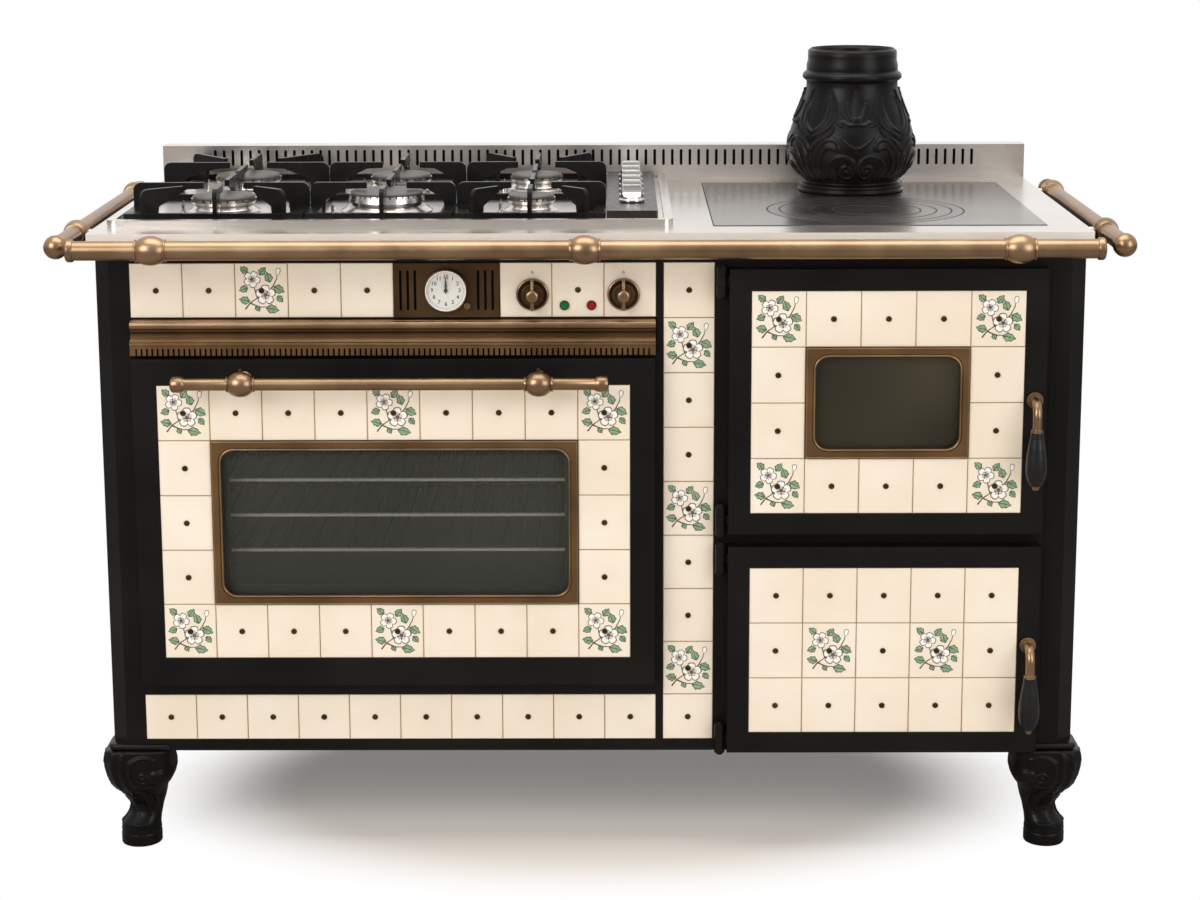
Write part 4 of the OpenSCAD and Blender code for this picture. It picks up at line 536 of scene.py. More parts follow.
FIRE_X, COLUMN_X, WALL_X = (225.5, 609.5), (103, 175.5), (-647.5, 93)
FASCIA_Z, KICK_Z = (791, 869), (168, 236)
oven_window = [(i, j) for i in range(1, 8) for j in range(1, 4)]
fire_window = [(i, j) for i in range(1, 4) for j in range(1, 3)]
fascia_cells = grid_cells(WALL_X[0], -275.9, *FASCIA_Z, 5, 1)
knob_cells = grid_cells(-126.9, WALL_X[1], *FASCIA_Z, 3, 1)
column_cells = grid_cells(*COLUMN_X, KICK_Z[1], FASCIA_Z[1], 1, 8)
low_cells = grid_cells(*COLUMN_X, *KICK_Z, 1, 1) + grid_cells(*WALL_X, *KICK_Z, 10, 1)
fields = {"oven_door": grid_cells(-611, 56.5, 299, 699, 9, 5, oven_window),
          "fire_door": grid_cells(*FIRE_X, 511.5, 832, 5, 4, fire_window),
          "lower_door": grid_cells(*FIRE_X, 186, 432, 5, 3),
          "cabinet": fascia_cells + knob_cells + column_cells + low_cells}


# Copies of a pattern, one at the middle of each cell, in a field that sits on a body.
def lay_out(pattern, cells, body, x=0.0, y=0.0, z=0.0):
    copies = []
    for middle_x, middle_z, *_ in cells:
        copies.append(copy_of(pattern))
        copies[-1].location = place(middle_x + x, TILE_FRONT[body] + y, middle_z + z)
    return copies


for body, cells in fields.items():
    tiles = lay_out(pattern_tile, cells, body)
    for tile, (_, _, wide, tall, _) in zip(tiles, cells):
        points = points_of(tile)
        grow = np.array([wide / 1000 - JOINT - TILE, 0, tall / 1000 - JOINT - TILE]) / 2
        set_points(tile, points + np.sign(points) * grow)
    settle(join_all(tiles), body + "_tile_faces", body, node=body + "_tiles")


# %% [markdown]
# **Screws.** Each tile is held by one bronze screw through its middle: a low dome with a socket.
# The two tiles behind the oven knobs have none.

# %% Tile screws
def make_screw():
    screw = add_piece(bpy.ops.mesh.primitive_cylinder_add, vertices=20, radius=0.0042, depth=0.0022,
                      rotation=TO_FRONT)
    to_edit(screw)
    pick_edges(screw, lambda a, b: a.y < -0.001 and b.y < -0.001)
    bpy.ops.mesh.bevel(offset=0.0011, segments=3)
    pick_faces(screw, lambda f: f.normal.y < -0.99)
    bpy.ops.mesh.inset(thickness=0.0012)
    bpy.ops.mesh.extrude_region_move(TRANSFORM_OT_translate={"value": (0, 0.0013, 0)})
    return dress(screw, angle=0.6)


pattern_screw = make_screw()
for body, cells in fields.items():
    screwed = [cell for cell in cells if cell not in (knob_cells[0], knob_cells[2])]
    settle(join_all(lay_out(pattern_screw, screwed, body, y=-0.9)), body + "_screws", body, screw_bronze)

# %% [markdown]
# **Painted sprigs.** Some tiles carry flowers, painted by hand under the glaze. The design here is
# a plain one of its own: two open blossoms of five petals and a bud on bent stems, with pointed
# leaves. Each patch of paint is a flat sheet a little over the glaze, and lies over the last one.

# %% Patches of paint
LAYER = 0.00006


def paint(points, layer, finish, angle=0, x=0, z=0):
    patch = add_piece(bpy.ops.mesh.primitive_circle_add, vertices=len(points), radius=0.01,
                      fill_type="NGON", rotation=TO_FRONT)
    c, s = math.cos(math.radians(angle)), math.sin(math.radians(angle))
    set_points(patch, [((x + c * px - s * pz) / 1000, -layer * LAYER, (z + s * px + c * pz) / 1000)
                       for px, pz in points])
    to_edit(patch)
    face_outward()
    if patch.data.polygons[0].normal.y > 0:
        patch.data.flip_normals()
    return dress(patch, finish)


def mirrored(side):
    return side + [(x, -w) for x, w in side[-2:0:-1]]


def leaf_points(length, width, start=0.0):
    return mirrored([(start + length * t, width / 2 * math.sin(math.pi * t ** 0.8)
                      * (1 + 0.14 * math.cos(t * math.pi * 6))) for t in (i / 12 for i in range(13))])


def petal_points(length, width):
    return mirrored([(length * (1 - math.cos(math.pi * t)) / 2,
                      width / 2 * math.sin(math.pi * t) ** 0.7 * (0.55 + 0.6 * t))
                     for t in (i / 10 for i in range(11))])


def round_points(radius, count=18):
    return [(radius * math.cos(2 * math.pi * i / count), radius * math.sin(2 * math.pi * i / count))
            for i in range(count)]


def stroke_points(path, width):
    left, right = [], []
    for i, (x, z) in enumerate(path):
        ax, az = path[max(i - 1, 0)]
        bx, bz = path[min(i + 1, len(path) - 1)]
        w = width / 2 * (1 - 0.6 * i / (len(path) - 1)) / math.hypot(bx - ax, bz - az)
        left.append((x - (bz - az) * w, z + (bx - ax) * w))
        right.append((x + (bz - az) * w, z - (bx - ax) * w))
    return left + right[::-1]


# %% One sprig
PETAL_COATS = ((1, 0.92, 5, paint_petal_line), (0.9, 0.76, 6, paint_petal), (0.52, 0.3, 7, paint_shade))
STEMS = ([(-21, -25), (-15, -17), (-6, -11), (4, -7)], [(-6, -11), (-9, 0), (-12, 10)],
         [(4, -7), (13, 3), (18, 13), (19, 20)], [(-15, -17), (-4, -22), (9, -22)])
# x, z, angle, length and width of each leaf
LEAVES = ((-15, -15, 168, 14, 10), (-8, -20, 300, 9, 7), (4, -23, -12, 17, 11), (14, 3, -28, 15, 11),
          (10, 8, 108, 14, 10), (-17, 20, 140, 12, 9), (-3, 17, 52, 13, 9), (-17, 2, 200, 12, 9),
          (18, -8, -50, 11, 8))
SPRIG_SCALE = 1.16


def make_blossom(x, z, radius, turn):
    petals = [paint(petal_points(radius * length, radius * width), layer, finish, turn + 72 * petal, x, z)
              for petal in range(5) for length, width, layer, finish in PETAL_COATS]
    return petals + [paint(round_points(radius * 0.2), 8, paint_stem, 0, x, z)]


def make_leaf(x, z, angle, length, width):
    vein = [(1, 0), (length * 0.4, 0.4), (length * 0.85, 0)]
    return [paint(leaf_points(length, width), 2, paint_line, angle, x, z),
            paint(leaf_points(length - 1.8, width - 2.2, 0.9), 3, paint_leaf, angle, x, z),
            paint(stroke_points(vein, 1.2), 4, paint_line, angle, x, z)]


def make_sprig():
    patches = [paint(stroke_points(stem, 2.0), 1, paint_stem) for stem in STEMS]
    for leaf in LEAVES:
        patches += make_leaf(*leaf)
    patches += make_blossom(4, -7, 12.5, 20) + make_blossom(-12, 12, 10.5, 65)
    patches.append(paint(petal_points(9, 6.5), 5, paint_petal_line, 80, 19, 17))
    patches.append(paint(petal_points(7.6, 4.8), 6, paint_petal, 80, 19.1, 17.6))
    return join_all(patches)


pattern_sprig = make_sprig()
pattern_sprig.scale = (SPRIG_SCALE, 1, SPRIG_SCALE)

# %% Put the sprigs on their tiles
for name, cells, chosen, body in (
        ("oven_door_sprigs", fields["oven_door"], [(0, 0), (4, 0), (8, 0), (0, 4), (4, 4), (8, 4)], "oven_door"),
        ("fire_door_sprigs", fields["fire_door"], [(0, 0), (4, 0), (0, 3), (4, 3)], "fire_door"),
        ("lower_door_sprigs", fields["lower_door"], [(1, 1), (3, 1)], "lower_door"),
        ("column_sprigs", column_cells, [(0, 0), (0, 3), (0, 6)], "cabinet"),
        ("fascia_sprig", fascia_cells, [(2, 0)], "cabinet")):
    painted = [cell for cell in cells if cell[4] in chosen]
    settle(join_all(lay_out(pattern_sprig, painted, body, 1, -0.3, 2)), name, body)
for pattern in (pattern_tile, pattern_screw, pattern_sprig):
    bpy.data.objects.remove(pattern)


# %% [markdown]
# ## Cast ornament
# The urn and the feet are cast in sand from carved wooden patterns. The carving is drawn here as
# strokes on the surface: each stroke is a ridge with a middle line, a width that tapers and a
# height. A fine sheet is rolled round the casting's form and raised by the highest stroke at
# each of its points.

# %% Strokes and rolled sheets
def smooth_path(points, steps=14):
    points = np.array(points, float)
    padded = np.vstack([2 * points[0] - points[1], points, 2 * points[-1] - points[-2]])
    out = []
    for a, b, c, d in zip(padded[:-3], padded[1:-2], padded[2:-1], padded[3:]):
        for t in np.linspace(0, 1, steps, endpoint=False):
            out.append(0.5 * (2 * b + (c - a) * t + (2 * a - 5 * b + 4 * c - d) * t ** 2
                              + (3 * b - a - 3 * c + d) * t ** 3))
    out.append(points[-1])
    return np.array(out)


def carved_height(across, up, strokes):
    highest = np.zeros(len(across))
    for path, width, height, taper in strokes:
        line = smooth_path(path)
        share = np.linspace(0, 1, len(line))
        half = width / 2 * np.interp(share, [0, 0.5, 1], taper)
        low, high = line.min(0) - width, line.max(0) + width
        near = (across > low[0]) & (across < high[0]) & (up > low[1]) & (up < high[1])
        if not near.any():
            continue
        far = np.hypot(across[near, None] - line[:, 0], up[near, None] - line[:, 1]) / half
        rise = 0.8 * height * np.clip(1 - far.min(1) ** 2, 0, 1) ** 0.6
        highest[near] = np.maximum(highest[near], rise)
    return highest


def rolled_sheet(columns, rows, surface):
    sheet = add_piece(bpy.ops.mesh.primitive_grid_add, x_subdivisions=columns, y_subdivisions=rows, size=1)
    flat = points_of(sheet)
    set_points(sheet, surface(flat[:, 0] + 0.5, flat[:, 1] + 0.5) / 1000)
    to_edit(sheet)
    face_outward(0.00002)
    bpy.ops.object.shade_smooth()
    return sheet


# %% [markdown]
# **The urn.** Its outside is an ogee from a double flange over the belly to a bead, with the pipe
# spigot above. The carving repeats four times round: a lily in the middle, a pair of volutes
# under it, and long leaves that flow down between.

# %% Urn
URN_X, URN_Y, URN_Z, URN_GIRTH = 404.0, 458.0, 916.0, 86
URN_FOOT = [(60, 0), (79, 0), (82, 1.5), (82.6, 4), (81, 7.5), (82, 9), (82, 12), (79.5, 14), (76.5, 15.5)]
URN_OGEE = [(76.5, 18), (79.5, 23), (86.6, 32), (93.5, 42), (97.4, 55), (98.6, 70), (96.8, 86), (92.4, 102),
            (86, 118), (79.4, 134), (74, 149), (70.9, 162), (70.4, 171)]
URN_TOP = [(73.5, 173), (76.4, 176), (76.8, 179), (76, 182), (73, 185), (70.5, 186.5), (70.6, 188), (70.6, 200),
           (69.4, 202), (68.6, 203), (68.6, 219.6), (67.4, 221), (64, 221), (62.5, 219), (62.5, 190), (66, 170),
           (80, 130), (90, 90), (90, 60), (78, 34), (60, 22), (60, 0)]
URN_STROKES = [
    ([(49, 150), (43, 130), (49, 106), (64, 92)], 21, 1.5, (0.15, 1, 0.8)),
    ([(27, 74), (44, 78), (56, 58), (58, 34)], 20, 1.3, (0.5, 1, 0.6)),
    ([(6, 46), (20, 56), (38, 46), (44, 28)], 13, 1.3, (0.5, 1, 0.7)),
    ([(0, 117), (0, 130), (0, 145), (0, 160)], 16, 2.6, (0.7, 1, 0.12)),
    ([(0, 118), (0, 132), (0, 146), (0, 160)], 3.5, 4.6, (1, 1, 0.3)),
    ([(7, 118), (12, 127), (15, 134), (16, 142)], 9, 3.6, (0.8, 1, 0.2)),
    ([(3, 117), (3.5, 118)], 11, 4.4, (1, 1, 1)),
    ([(0, 111), (12, 110), (20, 114), (26, 111), (22, 108)], 6, 3.4, (1, 1, 0.7)),
    ([(45, 160), (38, 145), (35, 128), (38, 112), (48, 101), (60, 93)], 8, 3.4, (0.2, 1, 0.9)),
    ([(50, 150), (46, 136), (47, 120), (54, 107), (66, 98)], 7, 3.4, (0.2, 1, 0.9)),
    ([(33, 108), (36, 99), (46, 90), (58, 82), (66, 70)], 6, 3.0, (0.3, 1, 1)),
    ([(0, 72), (8, 77), (16, 84), (23, 90)], 5.5, 2.8, (1, 0.9, 0.3)),
    ([(0, 78), (0, 66)], 5, 2.6, (0.4, 1, 0.5)),
    ([(26, 72), (26, 80), (33, 87), (44, 85), (54, 74), (61, 58), (63, 40), (60, 26)], 7, 3.6, (0.5, 1, 0.9)),
    ([(32, 72), (38, 76), (46, 70), (52, 56), (53, 40), (50, 27)], 6, 3.2, (0.3, 1, 0.9)),
    ([(3, 45), (7, 56), (18, 62), (31, 58), (40, 46), (43, 32), (40, 25)], 6.5, 3.6, (0.8, 1, 0.6)),
    ([(3, 45), (4, 35), (10, 27), (19, 27), (24, 35), (21, 44), (13, 46), (8, 40), (11, 34), (16, 36)],
     5, 3.4, (0.9, 1, 0.8)),
    ([(14.5, 37), (15, 37.5)], 7, 4.2, (1, 1, 1)),
    ([(66, 66), (67, 50), (66, 34), (64, 24)], 7, 3.4, (0.4, 1, 0.9)),
    ([(30, 24), (28, 34), (33, 46)], 4, 2.4, (0.9, 1, 0.3)),
]


def urn_surface(u, v):
    # most rows of the sheet go to the carved outside, which ends at 46% of the profile's length
    v = np.interp(v, [0, 0.84, 1], [0, 0.46, 1])
    profile = np.vstack([URN_FOOT, smooth_path(URN_OGEE), URN_TOP])
    run = np.concatenate([[0], np.cumsum(np.hypot(*np.diff(profile, axis=0).T))])
    radius = np.interp(v, run / run[-1], profile[:, 0])
    height = np.interp(v, run / run[-1], profile[:, 1])
    outside = (height > 19) & (height < 169) & (v < 0.5)
    angle = u * 2 * math.pi
    turn = (angle + math.pi / 4) % (math.pi / 2) - math.pi / 4
    radius[outside] += carved_height(np.abs(turn[outside]) * URN_GIRTH, height[outside], URN_STROKES)
    around = angle - math.pi / 2
    centre = place(URN_X, URN_Y, URN_Z) * 1000
    return np.stack([centre.x + radius * np.cos(around), centre.y + radius * np.sin(around),
                     centre.z + height], axis=1)


settle(rolled_sheet(400, 236, urn_surface), "flue_urn_casting", "cabinet", urn_iron, "flue_urn")

# %% [markdown]
# **The feet.** Each foot is a cabriole leg set corner-on. In front view the outer side swings out,
# draws in to the ankle and spreads on the base ring, and the side view is the same turned round
# the corner. Three ribs run down the outer edge, beside them a volute with an eye, a round boss
# and a leaf on the ankle.

# %% Foot
FOOT_X, FOOT_Y, FOOT_TALL = 666.0, {1: 65.0, -1: 592.0}, 150.6
FOOT_OUTER = [(0, -28.6), (1.5, -29.6), (16, -29.6), (18, -28.4), (19.5, -28.4), (21, -29.4), (25, -28.9),
              (30, -28.8), (33, -27.8), (38.7, -23.2), (44.5, -18.6), (50.3, -15.9), (57.6, -15), (62, -15.9),
              (67.8, -19.2), (76.6, -24.5), (82.4, -28.5), (88.3, -34.5), (97, -40.4), (105.8, -43.7),
              (120, -46.4), (135, -46.8), (146, -44.6), (150.6, -43.7)]
FOOT_INNER = [(0, 28.6), (1.5, 29.6), (16, 29.6), (18, 28.4), (19.5, 28.4), (21, 29.4), (28.5, 28.6), (40, 29.2),
              (54.7, 31.8), (67.8, 35.8), (76.6, 37.8), (85.4, 39.5), (91.2, 42.4), (97, 47), (102.9, 50.5),
              (111.6, 52.6), (120.4, 52.3), (129, 50), (135, 49), (140.8, 50.5), (150.6, 52.0)]
FOOT_STROKES = [
    ([(-41, 148), (-44, 132), (-42, 112), (-34, 94), (-24, 80)], 8, 3.2, (0.8, 1, 0.5)),
    ([(-31, 147), (-34, 126), (-31, 106), (-23, 88), (-14, 78)], 7.5, 3.2, (0.8, 1, 0.5)),
    ([(-16, 147), (-19, 134), (-18, 114), (-12, 96), (-6, 84)], 7, 3.0, (0.8, 1, 0.6)),
    ([(30, 139), (20, 143), (8, 142), (-3, 136), (-8, 124), (-6, 110), (2, 98), (12, 93), (22, 96)],
     6.5, 3.4, (0.5, 1, 0.7)),
    ([(3, 112), (5, 106), (12, 103), (19, 107), (19, 114), (12, 118), (6, 114)], 4.5, 3.2, (0.6, 1, 0.9)),
    ([(11.5, 111), (12, 111.5)], 8, 4.4, (1, 1, 1)),
    ([(33, 111), (37, 111)], 25, 6.5, (1, 1, 1)),
    ([(-5.5, 83), (-5, 83.5)], 8.5, 4.0, (1, 1, 1)),
    ([(4, 84), (10, 76), (14, 62), (15, 52)], 15, 3.6, (0.7, 1, 0.3)),
    ([(5, 82), (11, 70), (14, 58)], 3.5, 5.2, (0.7, 1, 0.4)),
    ([(-8, 72), (-4, 58), (-2, 46), (-6, 36)], 6, 3.0, (0.4, 1, 0.5)),
    ([(20, 88), (26, 80), (27, 66), (25, 50)], 6, 2.6, (0.6, 1, 0.4)),
    ([(-10, 34), (4, 33), (18, 34)], 5, 2.2, (0.3, 1, 0.3)),
]


def foot_surface(u, v):
    ends = [0, 0.02, 0.98, 1]
    up = np.interp(v, ends, [0, 0, FOOT_TALL, FOOT_TALL])
    shrink = np.interp(v, ends, [0.02, 1, 1, 0.02])
    outer, inner = (np.interp(up, *zip(*side)) for side in (FOOT_OUTER, FOOT_INNER))
    middle, half = (outer + inner) / 2, (inner - outer) / 2
    power = np.interp(up, [0, 31, 45, 80, 120, 150], [2, 2, 2.4, 2.8, 3.6, 5])
    angle = u * 2 * math.pi
    cosine, sine = np.cos(angle), np.sin(angle)
    reach = half / (np.abs(cosine) ** power + np.abs(sine) ** power) ** (1 / power) * shrink
    x, y = middle + reach * cosine, middle + reach * sine
    # the carving is the same on the front and on the outer side, mirrored over the corner
    front = y < x
    rise = carved_height(np.where(front, x, y), up, FOOT_STROKES) * (shrink > 0.99)
    rise = np.where(np.minimum(x, y) > middle * 0.4, 0, rise) * np.clip(np.abs(y - x) / 12, 0.35, 1)
    out_x, out_y = np.where(front, 0.12 * np.sign(cosine), -1.0), np.where(front, -1.0, 0.12 * np.sign(sine))
    return np.stack([x + rise * out_x, y + rise * out_y, up], axis=1)


def make_feet():
    pattern = rolled_sheet(150, 130, foot_surface)
    feet = []
    for sx in (1, -1):
        for sy, y in FOOT_Y.items():
            foot = copy_of(pattern)
            foot.location = place(-FOOT_X * sx, y, 0)
            foot.scale = (sx, sy, 1)
            work_on(foot)
            bpy.ops.object.transform_apply(location=True, rotation=True, scale=True)
            to_edit(foot)
            face_outward()
            feet.append(foot)
    bpy.data.objects.remove(pattern)
    return join_all(feet)


settle(make_feet(), "cabriole_feet", "cabinet", urn_iron, "feet")


# %% [markdown]
# A half-round moulding wraps the cabinet's corners where the posts meet the feet.

# %% Corner mouldings
def make_corner_moulding(side):
    strip = add_piece(bpy.ops.mesh.primitive_cube_add, size=1, scale=(0.090, 0.054, 0.009))
    to_edit(strip)
    pick_edges(strip, lambda a, b: abs(a.z - b.z) > 0.001 and a.x * side > 0 and a.y < 0)
    bpy.ops.mesh.bevel(offset=0.010, segments=4)
    pick_edges(strip, lambda a, b: abs(a.z - b.z) < 0.001)
    bpy.ops.mesh.bevel(offset=0.0036, segments=3)
    strip.location = place(side * 658.5, 55, 156)
    return dress(strip, angle=0.7)


settle(join_all([make_corner_moulding(side) for side in (1, -1)]), "corner_mouldings", "cabinet", urn_iron)


# %% [markdown]
# ## Turned bronze
# Rails, handle and knobs come off a lathe. The same is done here: a disc is pushed along its axis
# step by step, and made wider or narrower at each step. Balls get a thin collar on both sides.

# %% Lathe
def turned(profile, rotation, at, finish, sides=36, solid=True):
    (begin, radius), fill = profile[0], "NGON" if solid else "NOTHING"
    piece = add_piece(bpy.ops.mesh.primitive_circle_add, vertices=sides, radius=radius / 1000,
                      location=(0, 0, begin / 1000), fill_type=fill)
    bpy.ops.object.mode_set(mode="EDIT")
    bpy.ops.mesh.select_mode(type="FACE" if solid else "VERT")
    bpy.ops.mesh.select_all(action="SELECT")
    for (a, r), (b, s) in zip(profile, profile[1:]):
        bpy.ops.mesh.extrude_region_move(TRANSFORM_OT_translate={"value": (0, 0, (b - a) / 1000)})
        bpy.ops.transform.resize(value=(s / r, s / r, 1))
    face_outward(0.00001)
    piece.rotation_euler, piece.location = rotation, at
    return dress(piece, finish, 0.6)


def ball(middle, reach, half, radius, rod):
    round_part = [(middle + reach * t, radius * math.sqrt(1 - (reach * t / half) ** 2))
                  for t in np.linspace(-1, 1, 17)]
    collar = [(reach + 0.2, rod + 1.0), (reach + 0.6, rod + 1.9), (reach + 1.6, rod + 2.3),
              (reach + 2.8, rod + 1.9), (reach + 3.2, rod)]
    return [(middle - d, r) for d, r in collar[::-1]] + round_part + [(middle + d, r) for d, r in collar]


# %% [markdown]
# **Towel rails.** The front rail hangs on three stand-offs hidden behind its balls. The side rails
# run back along the worktop and end in front in a ball.

# %% Towel rails
RAIL_Z, FRONT_RAIL_Y, SIDE_RAIL_X = 898.5, -45, 739
FRONT_STANDS, SIDE_STANDS = (-601.5, -6, 589.5), (127, 564)
FRONT_ROD, SIDE_ROD = 13.4, 12.6


def rail_end(at, way, rod):
    steps = [(0, 0.4), (0, rod - 3), (1.2, rod + 0.6), (3.4, rod + 2.2), (9, rod + 2.2), (10.5, rod + 1.4), (11, rod)]
    return [(at + way * d, r) for d, r in (steps if way > 0 else steps[::-1])]


def make_front_rail():
    balls = sum((ball(x, 18.5, 26, 20.4, FRONT_ROD) for x in FRONT_STANDS), [])
    profile = rail_end(-718, 1, FRONT_ROD) + balls + rail_end(706, -1, FRONT_ROD)
    stand = [(0, 5), (2, 5.6), (50, 5.6), (52, 7), (56, 7)]
    return [turned(profile, ALONG_X, place(0, FRONT_RAIL_Y, RAIL_Z), bronze)] + [
        turned(stand, ALONG_Y, place(x, -26, RAIL_Z), chrome, 20) for x in FRONT_STANDS]


def make_side_rail(side):
    profile = [(-11 - 16.8 * math.cos(a), 16.8 * math.sin(a)) for a in np.linspace(0.03, 2.3, 15)]
    profile += [(2, 13.2), (3, 14.4), (5, 14.8), (7, 14.4), (7.6, SIDE_ROD)]
    profile += sum((ball(y, 17, 24, 19, SIDE_ROD) for y in SIDE_STANDS), [])
    profile += [(606, SIDE_ROD), (606.4, 14.4), (611, 14.8), (613.4, 13.6), (614, 10), (614, 0.4)]
    stand = [(0, 5), (1, 5.6), (22, 5.6), (24, 5)]
    return [turned(profile, ALONG_Y, place(side * SIDE_RAIL_X, 0, RAIL_Z), bronze)] + [
        turned(stand, ALONG_X, place(side * 711 - 12, y, RAIL_Z), chrome, 20) for y in SIDE_STANDS]


settle(join_all(make_front_rail() + make_side_rail(-1) + make_side_rail(1)), "turned_towel_rails", "cabinet",
       node="towel_rails")

# %% [markdown]
# **Oven handle.** A bar with barrel ends. Each bead sits over a stand-off with a rosette, and a
# small screw on top of the bead clamps the bar.

# %% Oven handle
HANDLE_Y, HANDLE_Z, HANDLE_MIDDLE, HANDLE_STANDS, HANDLE_ROD = -35, 709, -278.25, (-485.25, -71.25), 8.6


def make_handle():
    end = [(-583, 0.4), (-582.6, 7), (-581, 9.8), (-577.5, 11.4), (-570, 11.6), (-566, 10.6), (-564, 9.6),
           (-562, HANDLE_ROD)]
    beads = sum((ball(x, 17, 20.6, 17.8, HANDLE_ROD) for x in HANDLE_STANDS), [])
    profile = end + beads + [(2 * HANDLE_MIDDLE - x, r) for x, r in end[::-1]]
    parts = [turned(profile, ALONG_X, place(0, HANDLE_Y, HANDLE_Z), bronze)]
    for x in HANDLE_STANDS:
        parts.append(turned([(0, 5), (10, 6), (34, 6), (36, 9), (38, 11), (41.8, 11)], ALONG_Y,
                            place(x, HANDLE_Y, HANDLE_Z), bronze, 24))
        parts.append(turned([(0, 2.6), (5.4, 2.6), (6, 2)], UPRIGHT, place(x, HANDLE_Y, HANDLE_Z + 16),
                            screw_bronze, 12))
    return join_all(parts)


settle(make_handle(), "turned_oven_handle", "oven_door", node="oven_handle")

# %% [markdown]
# ** Oven knobs.** A skirt with a rolled lip, a groove inside it darkened with painted shade, a step,
# a finger bar across and a round boss in the middle.

# %% Oven knobs
KNOB_PROFILE = [(0, 22.2), (1.6, 23), (3.2, 22.8), (4.4, 21.6), (4.6, 20.6), (4.0, 19.6), (2.4, 18.8), (2.2, 17.4),
                (6.4, 16.6), (8, 15.6), (8.5, 13.6), (8.2, 10.2), (9, 9.4), (20, 9), (23.4, 8.4), (24.6, 7),
                (25, 5), (24.6, 0.4)]


def make_oven_knob(x):
    body = turned(KNOB_PROFILE, UPRIGHT, (0, 0, 0), bronze, 48)
    # Painted shade: the faces inside the groove take the dark bronze.
    body.data.materials.append(dark_bronze_and_cove_shade)
    for face in body.data.polygons:
        across = math.hypot(face.center.x, face.center.y) * 1000
        if 9.5 < across < 19.7 and face.center.z < 0.0215:
            face.material_index = 1
    bar = add_piece(bpy.ops.mesh.primitive_cube_add, size=1, location=(0, 0, 0.0135),
                    scale=(0.0062, 0.043, 0.013))
    to_edit(bar)
    pick_faces(bar, lambda f: f.normal.z > 0.9)
    bpy.ops.transform.resize(value=(0.62, 0.96, 1))
    pick_edges(bar, lambda a, b: a.z > 0.01 and b.z > 0.01)
    bpy.ops.mesh.bevel(offset=0.0015, segments=3)
    knob = join_all([body, dress(bar, bronze, 0.6)])
    knob.rotation_euler, knob.location = TO_FRONT, place(x, WALL_FRONT - 1, OVEN_KNOB_Z)
    return knob


for side, x in OVEN_KNOBS_X.items():
    settle(make_oven_knob(x), "turned_oven_knob_" + side, "oven_knob_" + side, node="oven_knob_" + side)


# %% [markdown]
# **Gas knobs.** A chromed casting with a wide skirt. Two scoops, cut with a round cutter, leave a
# grip bar across it. It is modelled once, and five copies stand behind it in a row.

# %% Gas knobs
def make_gas_knob():
    profile = [(-20, 4), (0, 4), (0, 18.3), (0.7, 19), (2.8, 19), (3.8, 18.4), (4.6, 17), (22.6, 13.9), (23.6, 13.3),
               (24, 12.4), (24, 0.2)]
    knob = turned(profile, UPRIGHT, (0, 0, 0), chrome, 48)
    to_edit(knob)
    bpy.ops.mesh.select_all(action="DESELECT")
    bpy.ops.mesh.select_mode(type="VERT")
    bpy.ops.mesh.select_non_manifold()
    bpy.ops.mesh.edge_face_add()
    for side in (-1, 1):
        cutter = add_piece(bpy.ops.mesh.primitive_cylinder_add, False, vertices=72, radius=0.0165, depth=0.06,
                           rotation=ALONG_X, location=(0, side * 0.0208, 0.0225))
        work_on(knob)
        bpy.ops.object.modifier_add(type="BOOLEAN")
        knob.modifiers[-1].object = cutter
        bpy.ops.object.modifier_apply(modifier=knob.modifiers[-1].name)
        bpy.data.objects.remove(cutter)
    return dress(knob, angle=0.5)


first_knob = make_gas_knob()
for i, knob in enumerate([first_knob] + [copy_of(first_knob) for _ in range(5)]):
    knob.location = place(60, 200 + 60 * i, 933)
    body = "gas_knob_%d" % (i + 1)
    settle(knob, "cast_" + body, body, node=body)


# %% [markdown]
# **Beads of the windows.** A thin bead runs round the opening of each window frame, and a finer
# one round its outer edge. A ring of points is laid on the rounded rectangle and made a tube.

# %% Window beads
def make_bead(x0, x1, z0, z1, inset, corner, y, thick):
    points, reach = [], inset + corner
    for cx, cz, start in ((x1 - reach, z1 - reach, 0), (x0 + reach, z1 - reach, 90),
                          (x0 + reach, z0 + reach, 180), (x1 - reach, z0 + reach, 270)):
        for angle in np.radians(np.arange(start, start + 91, 15)):
            points.append(place(cx + corner * math.cos(angle), y, cz + corner * math.sin(angle)))
    bead = add_piece(bpy.ops.mesh.primitive_circle_add, vertices=len(points), radius=0.1)
    set_points(bead, points)
    bpy.ops.object.convert(target="CURVE")
    bead.data.bevel_depth = thick / 1000
    bead.data.bevel_resolution = 2
    bpy.ops.object.convert(target="MESH")
    bpy.ops.object.shade_smooth()
    return bpy.context.object


for name, x0, x1, z0, z1, body in (("oven_window_beads", -536.8, -17.7, 379, 619, "oven_door"),
                                   ("fire_window_beads", 302.3, 532.7, 591.6, 751.9, "fire_door")):
    settle(join_all([make_bead(x0, x1, z0, z1, 12.4, 20, 5.2, 1.5), make_bead(x0, x1, z0, z1, 1.6, 2, 5.4, 1.1)]),
           name, body, bronze)

# %% [markdown]
# ** Seams of the plate.** A thin dark ring laid over the gap round each ring is painted shade,
# and it is the seams that show from above.

# %% Ring seams
for radius, body in ((145, "plate_ring_1"), (127, "plate_ring_2"), (105, "plate_ring_3"), (82, "plate_ring_4"),
                     (49, "plate_lid")):
    seam = turned([(0, radius - 1.9), (0.16, radius - 1.7), (0.16, radius - 0.2), (0, radius)], UPRIGHT,
                  place(PLATE_X, PLATE_Y, PLATE_TOP + 0.02), seam_painted_shade, 96, solid=False)
    settle(seam, "seam_of_" + body, body)


# %% [markdown]
# ## Clock face
# The dial is printed: twelve plain numbers and a ring of minute marks.

